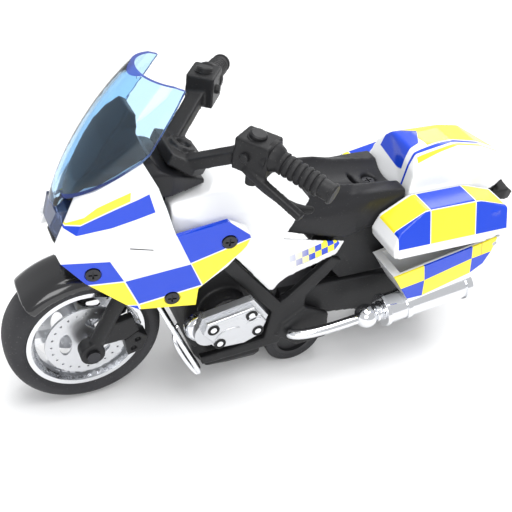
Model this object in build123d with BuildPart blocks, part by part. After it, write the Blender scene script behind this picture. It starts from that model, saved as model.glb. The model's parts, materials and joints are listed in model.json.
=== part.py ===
import os
from math import atan2, cos, degrees, radians, sin, sqrt

from build123d import *

# Toy motorcycle, a faired tourer with a pull-back motor.
# Millimetres.  +X forward, +Y left, +Z up, ground at Z = 0, centre of the overall length at X = 0.

# ---- driving dimensions -------------------------------------------------------------
WHEEL_R = 23.0            # outer radius of both road wheels
TYRE_HALF = 7.0           # half width of the road tyres
RIM_R = 17.0              # tyre seat radius on the rim
FRONT_X = 60.0            # front axle
REAR_X = -50.0            # rear axle
AXLE_R = 1.4
RUN = 0.08                # radial running clearance of every turning shaft
RAKE = 26.15              # steering axis, degrees back from vertical
STEM_R = 2.5
LEG_Y = 9.8               # fork leg centre line
LEG_R = 2.2
WALL = 1.3                # moulded shell wall
PAD = 30.0                # half length of cutting blocks

DRIVE_X = -6.0            # hidden drive axle under the belly
DRIVE_R = 10.0
DRIVE_AXLE_R = 1.0
MODULE = 0.8              # tooth module of the motor gears
PINION_TEETH = 8
IDLER_TEETH = 12
DRUM_TEETH = 18
MESH_PLAY = 0.15          # extra centre distance between meshing gears
CASE_HALF = 7.0           # half width of the motor case

HINGE_X = -64.0           # pannier lid hinge pin
HINGE_Z = 45.5
PANNIER_TILT = 11.8       # rim of the pannier box falls towards the front
PANNIER_IN = 12.4         # inner side wall
PANNIER_OUT = 25.6        # outer side wall
PIN_R = 0.8

AXIS = Vector(-sin(radians(RAKE)), 0, cos(radians(RAKE)))
FRONT = Vector(FRONT_X, 0, WHEEL_R)


# ---- helpers ---------------------------------------------------------------------------
def along(distance, side=0.0):
    """Point on the steering axis, or beside it, at a distance above the front axle."""
    return FRONT + AXIS * distance + Vector(0, side, 0)


def across(distance, side=0.0):
    """Plane square to the steering axis."""
    return Plane(origin=along(distance, side), x_dir=(0, 1, 0), z_dir=AXIS)


def side_plane(x, y, z):
    """Plane looking along +Y, local x forward and local y up (its normal points to -Y)."""
    return Plane(origin=(x, y, z), x_dir=(1, 0, 0), z_dir=(0, -1, 0))


def slab(outline, y_low, y_high):
    """Side outline (x, z) pushed from y_low to y_high."""
    with BuildPart() as plate:
        with BuildSketch(side_plane(0, y_low, 0)):
            Polygon(*outline, align=None)
        extrude(amount=y_low - y_high)
    return plate.part


def rod(x, z, radius, y_low, y_high):
    """Cylinder along Y."""
    with BuildPart() as bar:
        with BuildSketch(side_plane(x, y_low, z)):
            Circle(radius)
        extrude(amount=y_low - y_high)
    return bar.part


def ball(centre, radius, pole):
    """Sphere turned about an axis through its poles."""
    with BuildPart() as turned:
        with BuildSketch(Plane(origin=centre, x_dir=pole, z_dir=pole.cross(Vector(0, 0, 1)))):
            with BuildLine():
                CenterArc((0, 0), radius, 0, 180)
                Line((-radius, 0), (radius, 0))
            make_face()
        revolve(axis=Axis(centre, pole))
    return turned.part


def carve(side, plan, section, section_x):
    """Solid common to a side outline, a plan outline and a cross-section."""
    with BuildPart() as body:
        with BuildSketch(side_plane(0, PAD, 0)):
            Polygon(*side, align=None)
        extrude(amount=2 * PAD)
        with BuildSketch(Plane.XY):
            Polygon(*plan, align=None)
        extrude(amount=4 * PAD, mode=Mode.INTERSECT)
        with BuildSketch(Plane(origin=(section_x, 0, 0), x_dir=(0, 1, 0), z_dir=(1, 0, 0))):
            Polygon(*section, align=None)
        extrude(amount=4 * PAD, both=True, mode=Mode.INTERSECT)
    return body.part


def both_ways(half):
    """Mirror a half outline of (along, across) points to a closed one."""
    return half + [(a, -b) for a, b in reversed(half)]


def both_sides(half):
    """Mirror a half section of (y, z) points to a closed one."""
    return half + [(-y, z) for y, z in reversed(half)]


def save(part, name):
    part.label = name
    export_step(part, f"parts/{name}.step")


def save_pair(part, name, left="_left", right="_right"):
    """Write a piece and its mirror image on the other side."""
    save(part, name + left)
    save(mirror(part, about=Plane.XZ), name + right)


def save_group(part, name):
    """Write a piece and its mirror image as two solids of one node."""
    with BuildPart() as pair:
        add(part)
        add(mirror(part, about=Plane.XZ))
    save(pair.part, name)


os.makedirs("parts", exist_ok=True)


# ---- road wheels -------------------------------------------------------------------------
def road_tyre(x):
    crown = WHEEL_R
    with BuildPart() as tyre:
        with BuildSketch(Plane(origin=(x, 0, WHEEL_R), x_dir=(1, 0, 0), z_dir=(0, 0, 1))):
            with BuildLine():
                Polyline((RIM_R, -4.6), (RIM_R, 4.6), (RIM_R + 1.6, 6.4))
                Spline((RIM_R + 1.6, 6.4), (20.6, 6.4), (crown, 0), (20.6, -6.4), (RIM_R + 1.6, -6.4))
                Line((RIM_R + 1.6, -6.4), (RIM_R, -4.6))
            make_face()
        revolve(axis=Axis((x, 0, WHEEL_R), (0, 1, 0)))
    return tyre.part


def road_rim(x, spokes, bore_r):
    """Rim with a stepped lip, a drop centre, a hub barrel and pairs of spokes."""
    hub_half = 4.6
    with BuildPart() as rim:
        with BuildSketch(Plane(origin=(x, 0, WHEEL_R), x_dir=(1, 0, 0), z_dir=(0, 0, 1))):
            with BuildLine():
                Polyline(
                    (RIM_R, -4.6), (RIM_R, 4.6), (RIM_R + 0.4, 5.3), (RIM_R - 1.0, 5.3),
                    (RIM_R - 1.8, 3.2), (RIM_R - 2.6, 2.4), (RIM_R - 2.6, -2.4),
                    (RIM_R - 1.8, -3.2), (RIM_R - 1.0, -5.3), (RIM_R + 0.4, -5.3), (RIM_R, -4.6),
                )
            make_face()
        revolve(axis=Axis((x, 0, WHEEL_R), (0, 1, 0)))
        add(rod(x, WHEEL_R, 3.6, -hub_half, hub_half))
        with BuildSketch(side_plane(x, 1.6, WHEEL_R)):
            with PolarLocations(9.0, spokes):
                Trapezoid(3.0, 13.2, 84, rotation=90)
        extrude(amount=3.2)
        add(rod(x, WHEEL_R, bore_r, -PAD, PAD), mode=Mode.SUBTRACT)
    return rim.part


def brake_disc(x, y_low, y_high):
    """Drilled disc carried on the hub end by three arms."""
    with BuildPart() as disc:
        with BuildSketch(side_plane(x, y_high, WHEEL_R)):
            Circle(12.2)
            Circle(AXLE_R + RUN, mode=Mode.SUBTRACT)
            with PolarLocations(6.3, 3):
                Ellipse(1.9, 4.0, mode=Mode.SUBTRACT)
            with PolarLocations(10.4, 24):
                Circle(0.35, mode=Mode.SUBTRACT)
        extrude(amount=y_high - y_low)
    return disc.part


save(road_tyre(FRONT_X), "front_tyre")
save(road_rim(FRONT_X, 5, AXLE_R + RUN), "front_rim")
save_group(brake_disc(FRONT_X, 4.7, 5.5), "front_brake_discs")
save(road_tyre(REAR_X), "rear_tyre")
save(road_rim(REAR_X, 5, AXLE_R + RUN), "rear_rim")

with BuildPart() as front_axle:
    add(rod(FRONT_X, WHEEL_R, AXLE_R, -LEG_Y - LEG_R, LEG_Y + LEG_R))
save(front_axle.part, "front_axle")

with BuildPart() as rear_axle:
    add(rod(REAR_X, WHEEL_R, AXLE_R, -11.8, 11.8))
save(rear_axle.part, "rear_axle")

# ---- fork and steering ---------------------------------------------------------------------
LEG_TOP = 22.0            # top of the black fork slider, measured up the fork
TUBE_TOP = 40.0           # top of the bright fork tube
YOKE_LOW = 36.0           # lower yoke
YOKE_T = 3.0
CLAMP_LOW = 60.6          # underside of the handlebar clamp
CLAMP_T = 3.4

with BuildPart() as fork_leg:
    with BuildSketch(across(0, LEG_Y)):
        Circle(LEG_R)
    extrude(amount=LEG_TOP)
    add(rod(FRONT_X, WHEEL_R, 3.6, LEG_Y - LEG_R, LEG_Y + LEG_R))
    caliper_outline = [(58.6, 25.0), (57.6, 31.0), (48.0, 33.5), (46.2, 28.0), (50.0, 25.4)]
    add(slab(caliper_outline, LEG_Y - 1.6, LEG_Y + 1.2))
    with BuildSketch(across(LEG_TOP, LEG_Y)):
        Circle(1.5)
    extrude(amount=-6.0, mode=Mode.SUBTRACT)
    add(rod(FRONT_X, WHEEL_R, AXLE_R + 0.02, 0, PAD), mode=Mode.SUBTRACT)
save_pair(fork_leg.part, "fork_leg")

with BuildPart() as fork_tube:
    with BuildSketch(across(LEG_TOP - 5.9, LEG_Y)):
        Circle(1.45)
    extrude(amount=TUBE_TOP - LEG_TOP + 5.9)
save_group(fork_tube.part, "fork_tubes")

with BuildPart() as brake_caliper:
    add(slab([(50.4, 24.6), (46.4, 27.2), (43.4, 24.6), (45.0, 19.6), (49.4, 18.4)], 5.9, LEG_Y + 0.9))
    with BuildSketch(side_plane(0, LEG_Y + 0.9, 0)):
        with Locations((46.4, 24.0), (47.6, 20.8)):
            Circle(0.9)
    extrude(amount=1.2, mode=Mode.SUBTRACT)
save_pair(brake_caliper.part, "brake_caliper")

with BuildPart() as axle_cap:
    add(rod(FRONT_X, WHEEL_R, 1.9, LEG_Y + LEG_R + 0.02, LEG_Y + LEG_R + 0.9))
save_group(axle_cap.part, "axle_caps")

with BuildPart() as fork_yoke:
    with BuildSketch(across(YOKE_LOW)):
        with BuildLine():
            Polyline((-12.2, -2.6), (12.2, -2.6), (12.2, 2.6), (4, 4.4), (-4, 4.4), (-12.2, 2.6), close=True)
        make_face()
        with Locations((-LEG_Y, 0), (LEG_Y, 0)):
            Circle(1.5, mode=Mode.SUBTRACT)
    extrude(amount=YOKE_T)
    with BuildSketch(across(YOKE_LOW + YOKE_T)):
        Circle(STEM_R)
    extrude(amount=CLAMP_LOW - YOKE_LOW - YOKE_T)
save(fork_yoke.part, "fork_yoke")

GUARD_IN = 24.0
GUARD_OUT = 25.2


with BuildPart() as front_mudguard:
    with BuildSketch(Plane(origin=(FRONT_X, 0, WHEEL_R), x_dir=(1, 0, 0), z_dir=(0, 0, 1))):
        with BuildLine():
            Spline((21.2, 8.4), (24.0, 7.4), (GUARD_OUT + 0.4, 0), (24.0, -7.4), (21.2, -8.4))
            Line((21.2, -8.4), (21.2, -7.3))
            Spline((21.2, -7.3), (22.6, -6.6), (GUARD_IN, 0), (22.6, 6.6), (21.2, 7.3))
            Line((21.2, 7.3), (21.2, 8.4))
        make_face()
    revolve(axis=Axis((FRONT_X, 0, WHEEL_R), (0, -1, 0)), revolution_arc=104)
mudguard = front_mudguard.part.rotate(Axis((FRONT_X, 0, WHEEL_R), (0, -1, 0)), 46)
with BuildPart() as front_mudguard:
    add(mudguard)
    for sign in (-1, 1):
        with BuildSketch(across(0, sign * LEG_Y)):
            Circle(LEG_R + 0.1)
        extrude(amount=TUBE_TOP, mode=Mode.SUBTRACT)
save(front_mudguard.part, "front_mudguard")

HANDLE_END = Vector(14.6, 24.0, 87.4)       # inner end of the left grip
GRIP_TIP = Vector(5.2, 37.4, 84.0)
CLUSTER = Vector(19.4, 17.6, 87.6)          # switch block
GRIP_R = 3.0

with BuildPart() as handlebar:
    with BuildSketch(across(CLAMP_LOW + 0.1)):
        with BuildLine():
            Polyline((-9.5, 1.0), (-6.5, 6.0), (6.5, 6.0), (9.5, 1.0), (7.0, -5.6), (-7.0, -5.6), close=True)
        make_face()
    extrude(amount=CLAMP_T)
    with BuildSketch(across(CLAMP_LOW + CLAMP_T)):
        Circle(3.8)
        Circle(2.0, mode=Mode.SUBTRACT)
    extrude(amount=1.4)
    for sign in (-1, 1):
        root = along(CLAMP_LOW + 2.0, sign * 6.0)
        elbow = Vector(CLUSTER.X, sign * CLUSTER.Y, CLUSTER.Z)
        knee = Vector(HANDLE_END.X, sign * HANDLE_END.Y, HANDLE_END.Z)
        tip = Vector(GRIP_TIP.X, sign * GRIP_TIP.Y, GRIP_TIP.Z)
        with BuildSketch(Plane(origin=root, x_dir=(0, 0, 1), z_dir=elbow - root)):
            Rectangle(3.4, 4.6)
        extrude(amount=(elbow - root).length)
        with BuildSketch(Plane(origin=elbow - (knee - elbow) * 0.45, x_dir=(0, 0, 1), z_dir=knee - elbow)):
            Rectangle(9.0, 8.0)
        extrude(amount=(knee - elbow).length * 1.45 - 2.0)
        with BuildSketch(Plane(origin=knee, x_dir=(0, 0, 1), z_dir=tip - knee)):
            Circle(1.6)
        extrude(amount=(tip - knee).length - 1.2)
        lever_root = elbow + Vector(2.5, sign * 2.0, -3.6)
        lever_tip = knee + Vector(-1.2, sign * 11.5, -9.2)
        with BuildSketch(Plane(origin=lever_root, x_dir=(0, 0, 1), z_dir=lever_tip - lever_root)):
            Rectangle(2.0, 2.4)
        extrude(amount=(lever_tip - lever_root).length)
save(handlebar.part, "handlebar")

with BuildPart() as grip:
    with BuildSketch(Plane(origin=HANDLE_END, x_dir=(0, 0, 1), z_dir=GRIP_TIP - HANDLE_END)):
        Circle(GRIP_R)
        Circle(1.65, mode=Mode.SUBTRACT)
    extrude(amount=(GRIP_TIP - HANDLE_END).length - 0.8)
save_pair(grip.part, "grip")

# ---- front fairing, screen and lamp ------------------------------------------------------------
WING_Y = 22.7             # the side wings lie on the plane y = WING_Y - WING_SLOPE * x
WING_SLOPE = 0.17
WING_T = 1.5
WING_STRETCH = sqrt(1 + WING_SLOPE**2)
SCREEN_T = 1.2
SCREEN = [(66, 68.0, 53.5, 12.0), (78, 64.4, 46.0, 13.0), (92, 56.5, 41.0, 12.4), (106, 43.6, 33.2, 10.1)]
NOSE_HALF = 6.2           # half width of the gap that holds lamp and beak


def wing_plane(depth=0.0):
    """Outer face of the left side wing, local y up, normal pointing inward."""
    inward = Vector(-WING_SLOPE, -1, 0).normalized()
    return Plane(origin=Vector(0, WING_Y, 0) + inward * depth, x_dir=(1, -WING_SLOPE, 0), z_dir=inward)


def on_wing(x, z):
    """Local coordinates on the wing plane for a point given by x and z."""
    return (x * WING_STRETCH, z)


def stacked(outlines):
    """Straight-sided loft through closed outlines given as (z, points)."""
    with BuildPart() as body:
        for z, points in outlines:
            with BuildSketch(Plane.XY.offset(z)):
                Polygon(*points, align=None)
        loft(ruled=True)
    return body.part


def screen_shell(inset, x_shift):
    """Solid half-ellipse tower whose outside is the screen, drawn in by an inset."""
    with BuildPart() as tower:
        for z, nose, rear, half in SCREEN:
            with BuildSketch(Plane.XY.offset(z)):
                with BuildLine():
                    EllipticalCenterArc((rear, 0), nose - rear - inset, half - inset, -90, arc_size=180)
                    Line((rear, half - inset), (rear - x_shift, half - inset))
                    Line((rear - x_shift, half - inset), (rear - x_shift, inset - half))
                    Line((rear - x_shift, inset - half), (rear, inset - half))
                make_face()
        loft()
    return tower.part


screws_at = [(59.6, 53.2), (23.9, 60.6), (38.6, 42.5)]

cowl_low = [(69.0, 0), (68.6, 7.6), (66.4, 11.3), (50.0, 14.2), (38.0, 16.2), (30.0, 17.6), (30.0, 0)]
cowl_high = [(57.2, 0), (55.6, 6.2), (52.0, 9.4), (45.6, 12.0), (39.0, 12.6), (30.0, 12.8), (30.0, 0)]
cowl_low_in = [(66.8, 0), (66.6, 6.9), (65.2, 9.7), (49.6, 12.6), (38.0, 14.6), (29.0, 16.1), (29.0, 0)]
cowl_high_in = [(55.4, 0), (54.2, 5.2), (51.0, 8.0), (45.0, 10.4), (39.0, 11.0), (29.0, 11.2), (29.0, 0)]

with BuildPart() as fairing:
    add(stacked([(58.5, cowl_low), (90.5, cowl_high)]))
    add(stacked([(58.4, cowl_low_in), (90.6, cowl_high_in)]), mode=Mode.SUBTRACT)
    add(
        slab(
            [
                (70, 58.5), (70, 68.5), (64.4, 73.2), (52.0, 81.2), (46.4, 85.2),
                (42.6, 78.0), (40.4, 71.5), (38.1, 63.6), (37.0, 58.5),
            ],
            NOSE_HALF, PAD,
        ),
        mode=Mode.INTERSECT,
    )
    with BuildSketch(wing_plane()):
        wing = [
            (68.6, 60.5), (67.6, 57.6), (61.7, 50.4), (51.1, 41.6), (47.6, 39.5), (31.9, 39.2), (31.5, 45.0),
            (30.3, 46.3), (23.8, 52.3), (19.1, 58.8), (18.2, 61.6), (19.4, 64.6), (24.9, 67.3), (38.1, 63.6),
            (39.0, 66.0), (66.0, 62.0),
        ]
        Polygon(*[on_wing(x, z) for x, z in wing], align=None)
    extrude(amount=WING_T)
    with BuildSketch(wing_plane(WING_T)):
        with Locations(*[on_wing(x, z) for x, z in screws_at]):
            Circle(2.3)
    extrude(amount=2.0)
    with BuildSketch(wing_plane()):
        with Locations(*[on_wing(x, z) for x, z in screws_at]):
            Circle(1.2)
    extrude(amount=PAD, mode=Mode.SUBTRACT)
    with BuildSketch(wing_plane(-PAD)):
        with Locations(*[on_wing(x, z) for x, z in screws_at]):
            Circle(2.3)
    extrude(amount=PAD + 0.6, mode=Mode.SUBTRACT)
save_pair(fairing.part, "fairing")

with BuildPart() as fairing_screws:
    with BuildSketch(wing_plane(-0.3)):
        with Locations(*[on_wing(x, z) for x, z in screws_at]):
            Circle(2.0)
    extrude(amount=0.88)
    with BuildSketch(wing_plane(0.58)):
        with Locations(*[on_wing(x, z) for x, z in screws_at]):
            Circle(1.15)
    extrude(amount=2.8)
    with BuildSketch(wing_plane(-0.3)):
        with Locations(*[on_wing(x, z) for x, z in screws_at]):
            Rectangle(2.4, 0.5)
            Rectangle(0.5, 2.4)
    extrude(amount=0.5, mode=Mode.SUBTRACT)
    mirror(about=Plane.XZ)
save(fairing_screws.part, "fairing_screws")

with BuildPart() as windscreen:
    add(screen_shell(0.0, 0.5))
    add(screen_shell(SCREEN_T, 1.0), mode=Mode.SUBTRACT)
    add(
        slab(
            [
                (69, 69.6), (66.6, 70.0), (64.4, 73.6), (52.2, 81.6), (46.6, 85.6), (44.6, 87.4),
                (35.4, 102.4),
                (38.0, 103.4), (44.5, 104.4), (70, 92.0),
            ],
            -PAD, PAD,
        ),
        mode=Mode.INTERSECT,
    )
save(windscreen.part, "windscreen")

with BuildPart() as headlight_lens:
    add(carve(
        [(66.8, 69.4), (68.4, 64.0), (66.8, 60.0), (61.0, 60.0), (61.0, 69.4)],
        both_ways([(68.4, 3.4), (66.0, 5.9), (61.0, 5.9)]),
        both_sides([(5.9, 59.0), (5.9, 66.0), (5.0, 70.0)]), 20,
    ))
    add(carve(
        [(65.8, 68.2), (67.1, 64.0), (65.8, 61.2), (60.9, 61.2), (60.9, 68.2)],
        both_ways([(67.1, 2.8), (65.2, 4.7), (60.9, 4.7)]),
        both_sides([(4.7, 59.0), (4.7, 69.0)]), 20,
    ), mode=Mode.SUBTRACT)
save(headlight_lens.part, "headlight_lens")

with BuildPart() as headlight_reflector:
    with BuildSketch(Plane(origin=(60.6, 0, 64.7), x_dir=(0, 1, 0), z_dir=(1, 0, 0))):
        RectangleRounded(8.8, 6.4, 1.4)
    extrude(amount=3.2)
    with BuildSketch(Plane(origin=(63.9, 0, 64.7), x_dir=(0, 1, 0), z_dir=(1, 0, 0))):
        with GridLocations(4.1, 0, 2, 1):
            Circle(1.8)
    extrude(amount=-2.0, mode=Mode.SUBTRACT)
save(headlight_reflector.part, "headlight_reflector")

with BuildPart() as nose_beak:
    add(carve(
        [(68.0, 59.8), (66.4, 56.8), (63.6, 54.4), (55.0, 53.2), (55.0, 59.8)],
        both_ways([(68.0, 2.6), (66.0, 5.6), (63.0, 6.0), (55.0, 6.0)]),
        both_sides([(5.0, 53.0), (6.0, 56.0), (6.0, 60.0)]), 20,
    ))
    add(carve(
        [(66.0, 58.4), (63.0, 56.0), (54.9, 54.8), (54.9, 58.4)],
        both_ways([(65.6, 2.4), (63.4, 4.4), (54.9, 4.6)]),
        both_sides([(4.6, 53.0), (4.6, 60.0)]), 20,
    ), mode=Mode.SUBTRACT)
save(nose_beak.part, "nose_beak")

with BuildPart() as instrument_pod:
    add(carve(
        [
            (63.4, 71.0), (61.0, 77.0), (54.0, 88.6), (47.4, 95.6), (45.6, 94.0), (46.2, 90.0),
            (44.2, 85.0), (40.6, 79.8), (36.0, 77.8), (27.0, 73.2), (26.8, 71.8), (40.0, 72.2),
        ],
        both_ways([(64.0, 2.4), (60.0, 5.6), (52.0, 8.6), (45.0, 10.0), (38.0, 10.4), (25.6, 5.4)]),
        both_sides([(10.4, 70.0), (10.0, 79.0), (7.2, 82.0), (6.2, 92.0), (3.0, 96.5)]), 20,
    ))
    add(carve(
        [
            (62.0, 70.0), (60.2, 76.0), (53.6, 87.6), (48.0, 93.0), (47.6, 90.0), (45.6, 84.0),
            (41.4, 78.2), (40.4, 73.7), (40.6, 70.0),
        ],
        both_ways([(62.0, 1.4), (58.6, 4.4), (51.0, 7.2), (45.0, 8.6), (39.0, 8.8)]),
        both_sides([(8.8, 68.0), (8.6, 78.4), (5.8, 81.4), (5.0, 91.0), (2.4, 95.0)]), 20,
    ), mode=Mode.SUBTRACT)
    with BuildSketch(across(CLAMP_LOW - 20)):
        Circle(STEM_R + 0.5)
    extrude(amount=40, mode=Mode.SUBTRACT)
save(instrument_pod.part, "instrument_pod")

# ---- backbone and chassis sides -----------------------------------------------------------------
HEAD_LOW = 44.0           # steering head along the axis
HEAD_HIGH = 50.0

with BuildPart() as backbone:
    with BuildSketch(across(HEAD_LOW)):
        Circle(4.6)
    extrude(amount=HEAD_HIGH - HEAD_LOW)
    add(slab(
        [(39.0, 62.6), (36.0, 68.0), (22.0, 66.0), (6.0, 54.0), (-13.0, 51.6), (-13.0, 47.6), (16.0, 52.0)],
        -3.6, 3.6,
    ))
    with BuildSketch(across(0)):
        Circle(STEM_R + RUN)
    extrude(amount=90, mode=Mode.SUBTRACT)
save(backbone.part, "backbone")

with BuildPart() as chassis_side:
    add(slab([(24.0, 54.4), (18.8, 48.8), (1.8, 28.4), (4.8, 25.6), (24.0, 48.0)], 12.0, 14.2))
    add(slab([(5.0, 26.6), (-1.0, 24.0), (-16.6, 41.4), (-12.8, 43.2)], 12.0, 14.2))
    add(slab([(5.0, 27.0), (-1.0, 24.0), (1.0, 12.0), (27.0, 10.4), (27.6, 13.6), (6.6, 15.2)], 12.0, 14.2))
    add(slab([(2.8, 16.4), (1.4, 20.4), (-6.0, 25.6), (-15.0, 20.6), (-15.6, 10.6), (-5.0, 9.8)], 12.9, 15.0))
    add(slab([(2.0, 30.0), (-6.0, 30.0), (-6.0, 22.0), (2.0, 22.0)], 11.7, 14.2))
save_pair(chassis_side.part, "chassis_side")

# ---- engine ----------------------------------------------------------------------------------------
CYL_X = 21.5
CYL_Z = 30.6
HEAD_Y = 17.6

with BuildPart() as engine_block:
    add(slab(
        [
            (8.5, 21.0), (12.0, 16.0), (29.0, 16.0), (32.5, 22.0),
            (32.5, 40.0), (24.0, 47.0), (14.0, 44.0), (8.5, 34.0),
        ],
        -11.6, 11.6,
    ))
    add(rod(CYL_X, CYL_Z, 6.6, -HEAD_Y, HEAD_Y))
    for y in (12.4, 13.9, 15.4, 16.9):
        add(rod(CYL_X, CYL_Z, 7.3, y - 0.4, y + 0.4))
        add(rod(CYL_X, CYL_Z, 7.3, -y - 0.4, 0.4 - y))
    add(slab([(8.0, 0), (14.3, 0), (14.3, 27.4), (8.0, 27.4)], -7.3, 7.3), mode=Mode.SUBTRACT)
save(engine_block.part, "engine_block")

head_outline = [
    (29.8, 34.8), (15.7, 37.5), (11.2, 31.2), (12.8, 26.4), (17.8, 24.3), (25.5, 24.6), (30.9, 31.0),
]
bolts_at = [(28.0, 32.6), (16.4, 35.0), (13.8, 28.4), (25.6, 26.6)]

with BuildPart() as head_cover:
    with BuildSketch(side_plane(0, HEAD_Y + 0.02, 0)):
        Polygon(*head_outline, align=None)
        offset(amount=1.2, kind=Kind.INTERSECTION)
        with Locations((27.8, 29.6)):
            Circle(4.9)
    extrude(amount=-2.4)
    with BuildSketch(side_plane(0, HEAD_Y + 2.42, 0)):
        Polygon(*head_outline, align=None)
    extrude(amount=-2.2)
    fillet(head_cover.faces().sort_by(Axis.Y)[-1].edges(), 0.7)
    with BuildSketch(side_plane(0, HEAD_Y + 3.6, 0)):
        with Locations(*bolts_at):
            Circle(1.35)
    extrude(amount=-PAD, mode=Mode.SUBTRACT)
save_pair(head_cover.part, "head_cover")

with BuildPart() as head_bolts:
    with BuildSketch(side_plane(0, HEAD_Y + 3.62, 0)):
        with Locations(*bolts_at):
            Circle(0.95)
    extrude(amount=-1.2)
    mirror(about=Plane.XZ)
save(head_bolts.part, "head_bolts")

BAR_TOP = Vector(43.4, 11.3, 42.5)
BAR_R = 1.15
BAR_FOOT = Vector(29.8, 19.6, 13.6)
BAR_BACK = Vector(37.0, 15.4, 24.4)
BAR_ROOT = Vector(34.2, 10.4, 27.6)

with BuildPart() as crash_bar:
    for start, end in ((BAR_TOP, BAR_FOOT), (BAR_FOOT, BAR_BACK), (BAR_BACK, BAR_ROOT)):
        with BuildSketch(Plane(origin=start, x_dir=(0, 1, 0.2), z_dir=end - start)):
            Circle(BAR_R)
        extrude(amount=(end - start).length)
    for before, corner, after in ((BAR_TOP, BAR_FOOT, BAR_BACK), (BAR_FOOT, BAR_BACK, BAR_ROOT)):
        add(ball(corner, BAR_R + 0.05, after - before))
save_pair(crash_bar.part, "crash_bar")

with BuildPart() as belly_pan:
    add(carve(
        [(28.6, 15.6), (27.4, 9.0), (24.0, 5.2), (16.0, 2.8), (6.0, 2.8), (6.0, 15.6)],
        both_ways([(28.6, 7.0), (24.0, 10.4), (6.0, 11.4)]),
        both_sides([(8.0, 2.0), (11.4, 7.0), (11.4, 16.0)]), 0,
    ))
    add(carve(
        [(27.0, 15.7), (26.0, 10.0), (23.2, 6.6), (16.0, 4.2), (5.9, 4.2), (5.9, 15.7)],
        both_ways([(27.0, 6.0), (23.4, 9.1), (5.9, 10.1)]),
        both_sides([(7.2, 2.0), (10.1, 7.4), (10.1, 16.0)]), 0,
    ), mode=Mode.SUBTRACT)
save(belly_pan.part, "belly_pan")

# ---- tank, seat and tail ------------------------------------------------------------------------------
with BuildPart() as tank_cover:
    add(carve(
        [
            (38.0, 60.0), (38.0, 69.8), (27.0, 71.0), (23.6, 73.0), (14.0, 72.6), (4.0, 69.4), (-2.8, 65.6),
            (1.2, 60.6), (5.9, 54.9), (-16.2, 48.6), (-13.8, 44.4), (2.8, 40.4), (5.2, 38.6), (6.6, 36.4),
            (8.0, 36.6), (18.8, 50.0), (24.4, 56.0), (34.0, 60.0),
        ],
        both_ways([(38.0, 11.6), (24.0, 14.8), (8.0, 15.9), (-6.0, 15.2), (-16.2, 14.4)]),
        both_sides([(15.9, 36.0), (15.2, 57.0), (13.2, 65.0), (9.8, 70.6), (4.6, 73.4)]), 0,
    ))
    add(carve(
        [
            (36.6, 50.0), (36.6, 68.6), (26.6, 69.4), (23.2, 71.4), (14.4, 71.2), (4.6, 68.0), (-4.0, 63.0),
            (-20.0, 62.0), (-20.0, 30.0), (36.6, 30.0),
        ],
        both_ways([(36.6, 10.0), (24.0, 13.3), (8.0, 14.5), (-6.0, 14.0), (-20.0, 12.7)]),
        both_sides([(14.5, 30.0), (13.8, 57.0), (11.8, 64.2), (8.8, 69.2), (4.0, 71.8)]), 0,
    ), mode=Mode.SUBTRACT)
    with BuildSketch(across(20)):
        Circle(5.4)
    extrude(amount=60, mode=Mode.SUBTRACT)
save(tank_cover.part, "tank_cover")

with BuildPart() as seat:
    add(carve(
        [
            (5.3, 55.2), (0.8, 60.4), (-3.2, 65.3), (-10.0, 66.4), (-20.0, 64.0), (-36.4, 62.0),
            (-36.4, 51.4), (-16.6, 49.0),
        ],
        both_ways([(6.2, 12.2), (-10.0, 13.3), (-20.0, 13.0), (-24.6, 12.0), (-36.4, 12.0)]),
        both_sides([(13.4, 48.0), (13.0, 58.0), (10.2, 64.6), (6.0, 66.4)]), -10,
    ))
    with BuildSketch(Plane(origin=(-5.0, 0, 72.2), x_dir=(0, 1, 0), z_dir=(-1, 0, -0.09))):
        Ellipse(9.2, 10.4)
    extrude(amount=40, mode=Mode.SUBTRACT)
    add(slab(
        [(8.0, 40.0), (4.0, 55.0), (-8.0, 57.2), (-35.0, 56.0), (-35.0, 55.0), (-37.0, 55.0), (-37.0, 40.0)],
        -11.2, 11.2,
    ), mode=Mode.SUBTRACT)
    with BuildSketch(Plane.XY.offset(50)):
        with Locations((-30.2, 0)):
            Circle(1.0)
    extrude(amount=20, mode=Mode.SUBTRACT)
    with BuildSketch(Plane.XY.offset(57.9)):
        with Locations((-30.2, 0)):
            Circle(2.3)
        with Locations((-24.4, 0)):
            SlotOverall(6.0, 1.2, rotation=90)
    extrude(amount=10, mode=Mode.SUBTRACT)
save(seat.part, "seat")

with BuildPart() as seat_screw:
    with BuildSketch(Plane.XY.offset(57.92)):
        with Locations((-30.2, 0)):
            Circle(2.0)
    extrude(amount=0.9)
    with BuildSketch(Plane.XY.offset(53.0)):
        with Locations((-30.2, 0)):
            Circle(0.95)
    extrude(amount=4.92)
    with BuildSketch(Plane.XY.offset(58.82)):
        with Locations((-30.2, 0)):
            Rectangle(2.4, 0.5)
            Rectangle(0.5, 2.4)
    extrude(amount=-0.5, mode=Mode.SUBTRACT)
save(seat_screw.part, "seat_screw")

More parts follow.
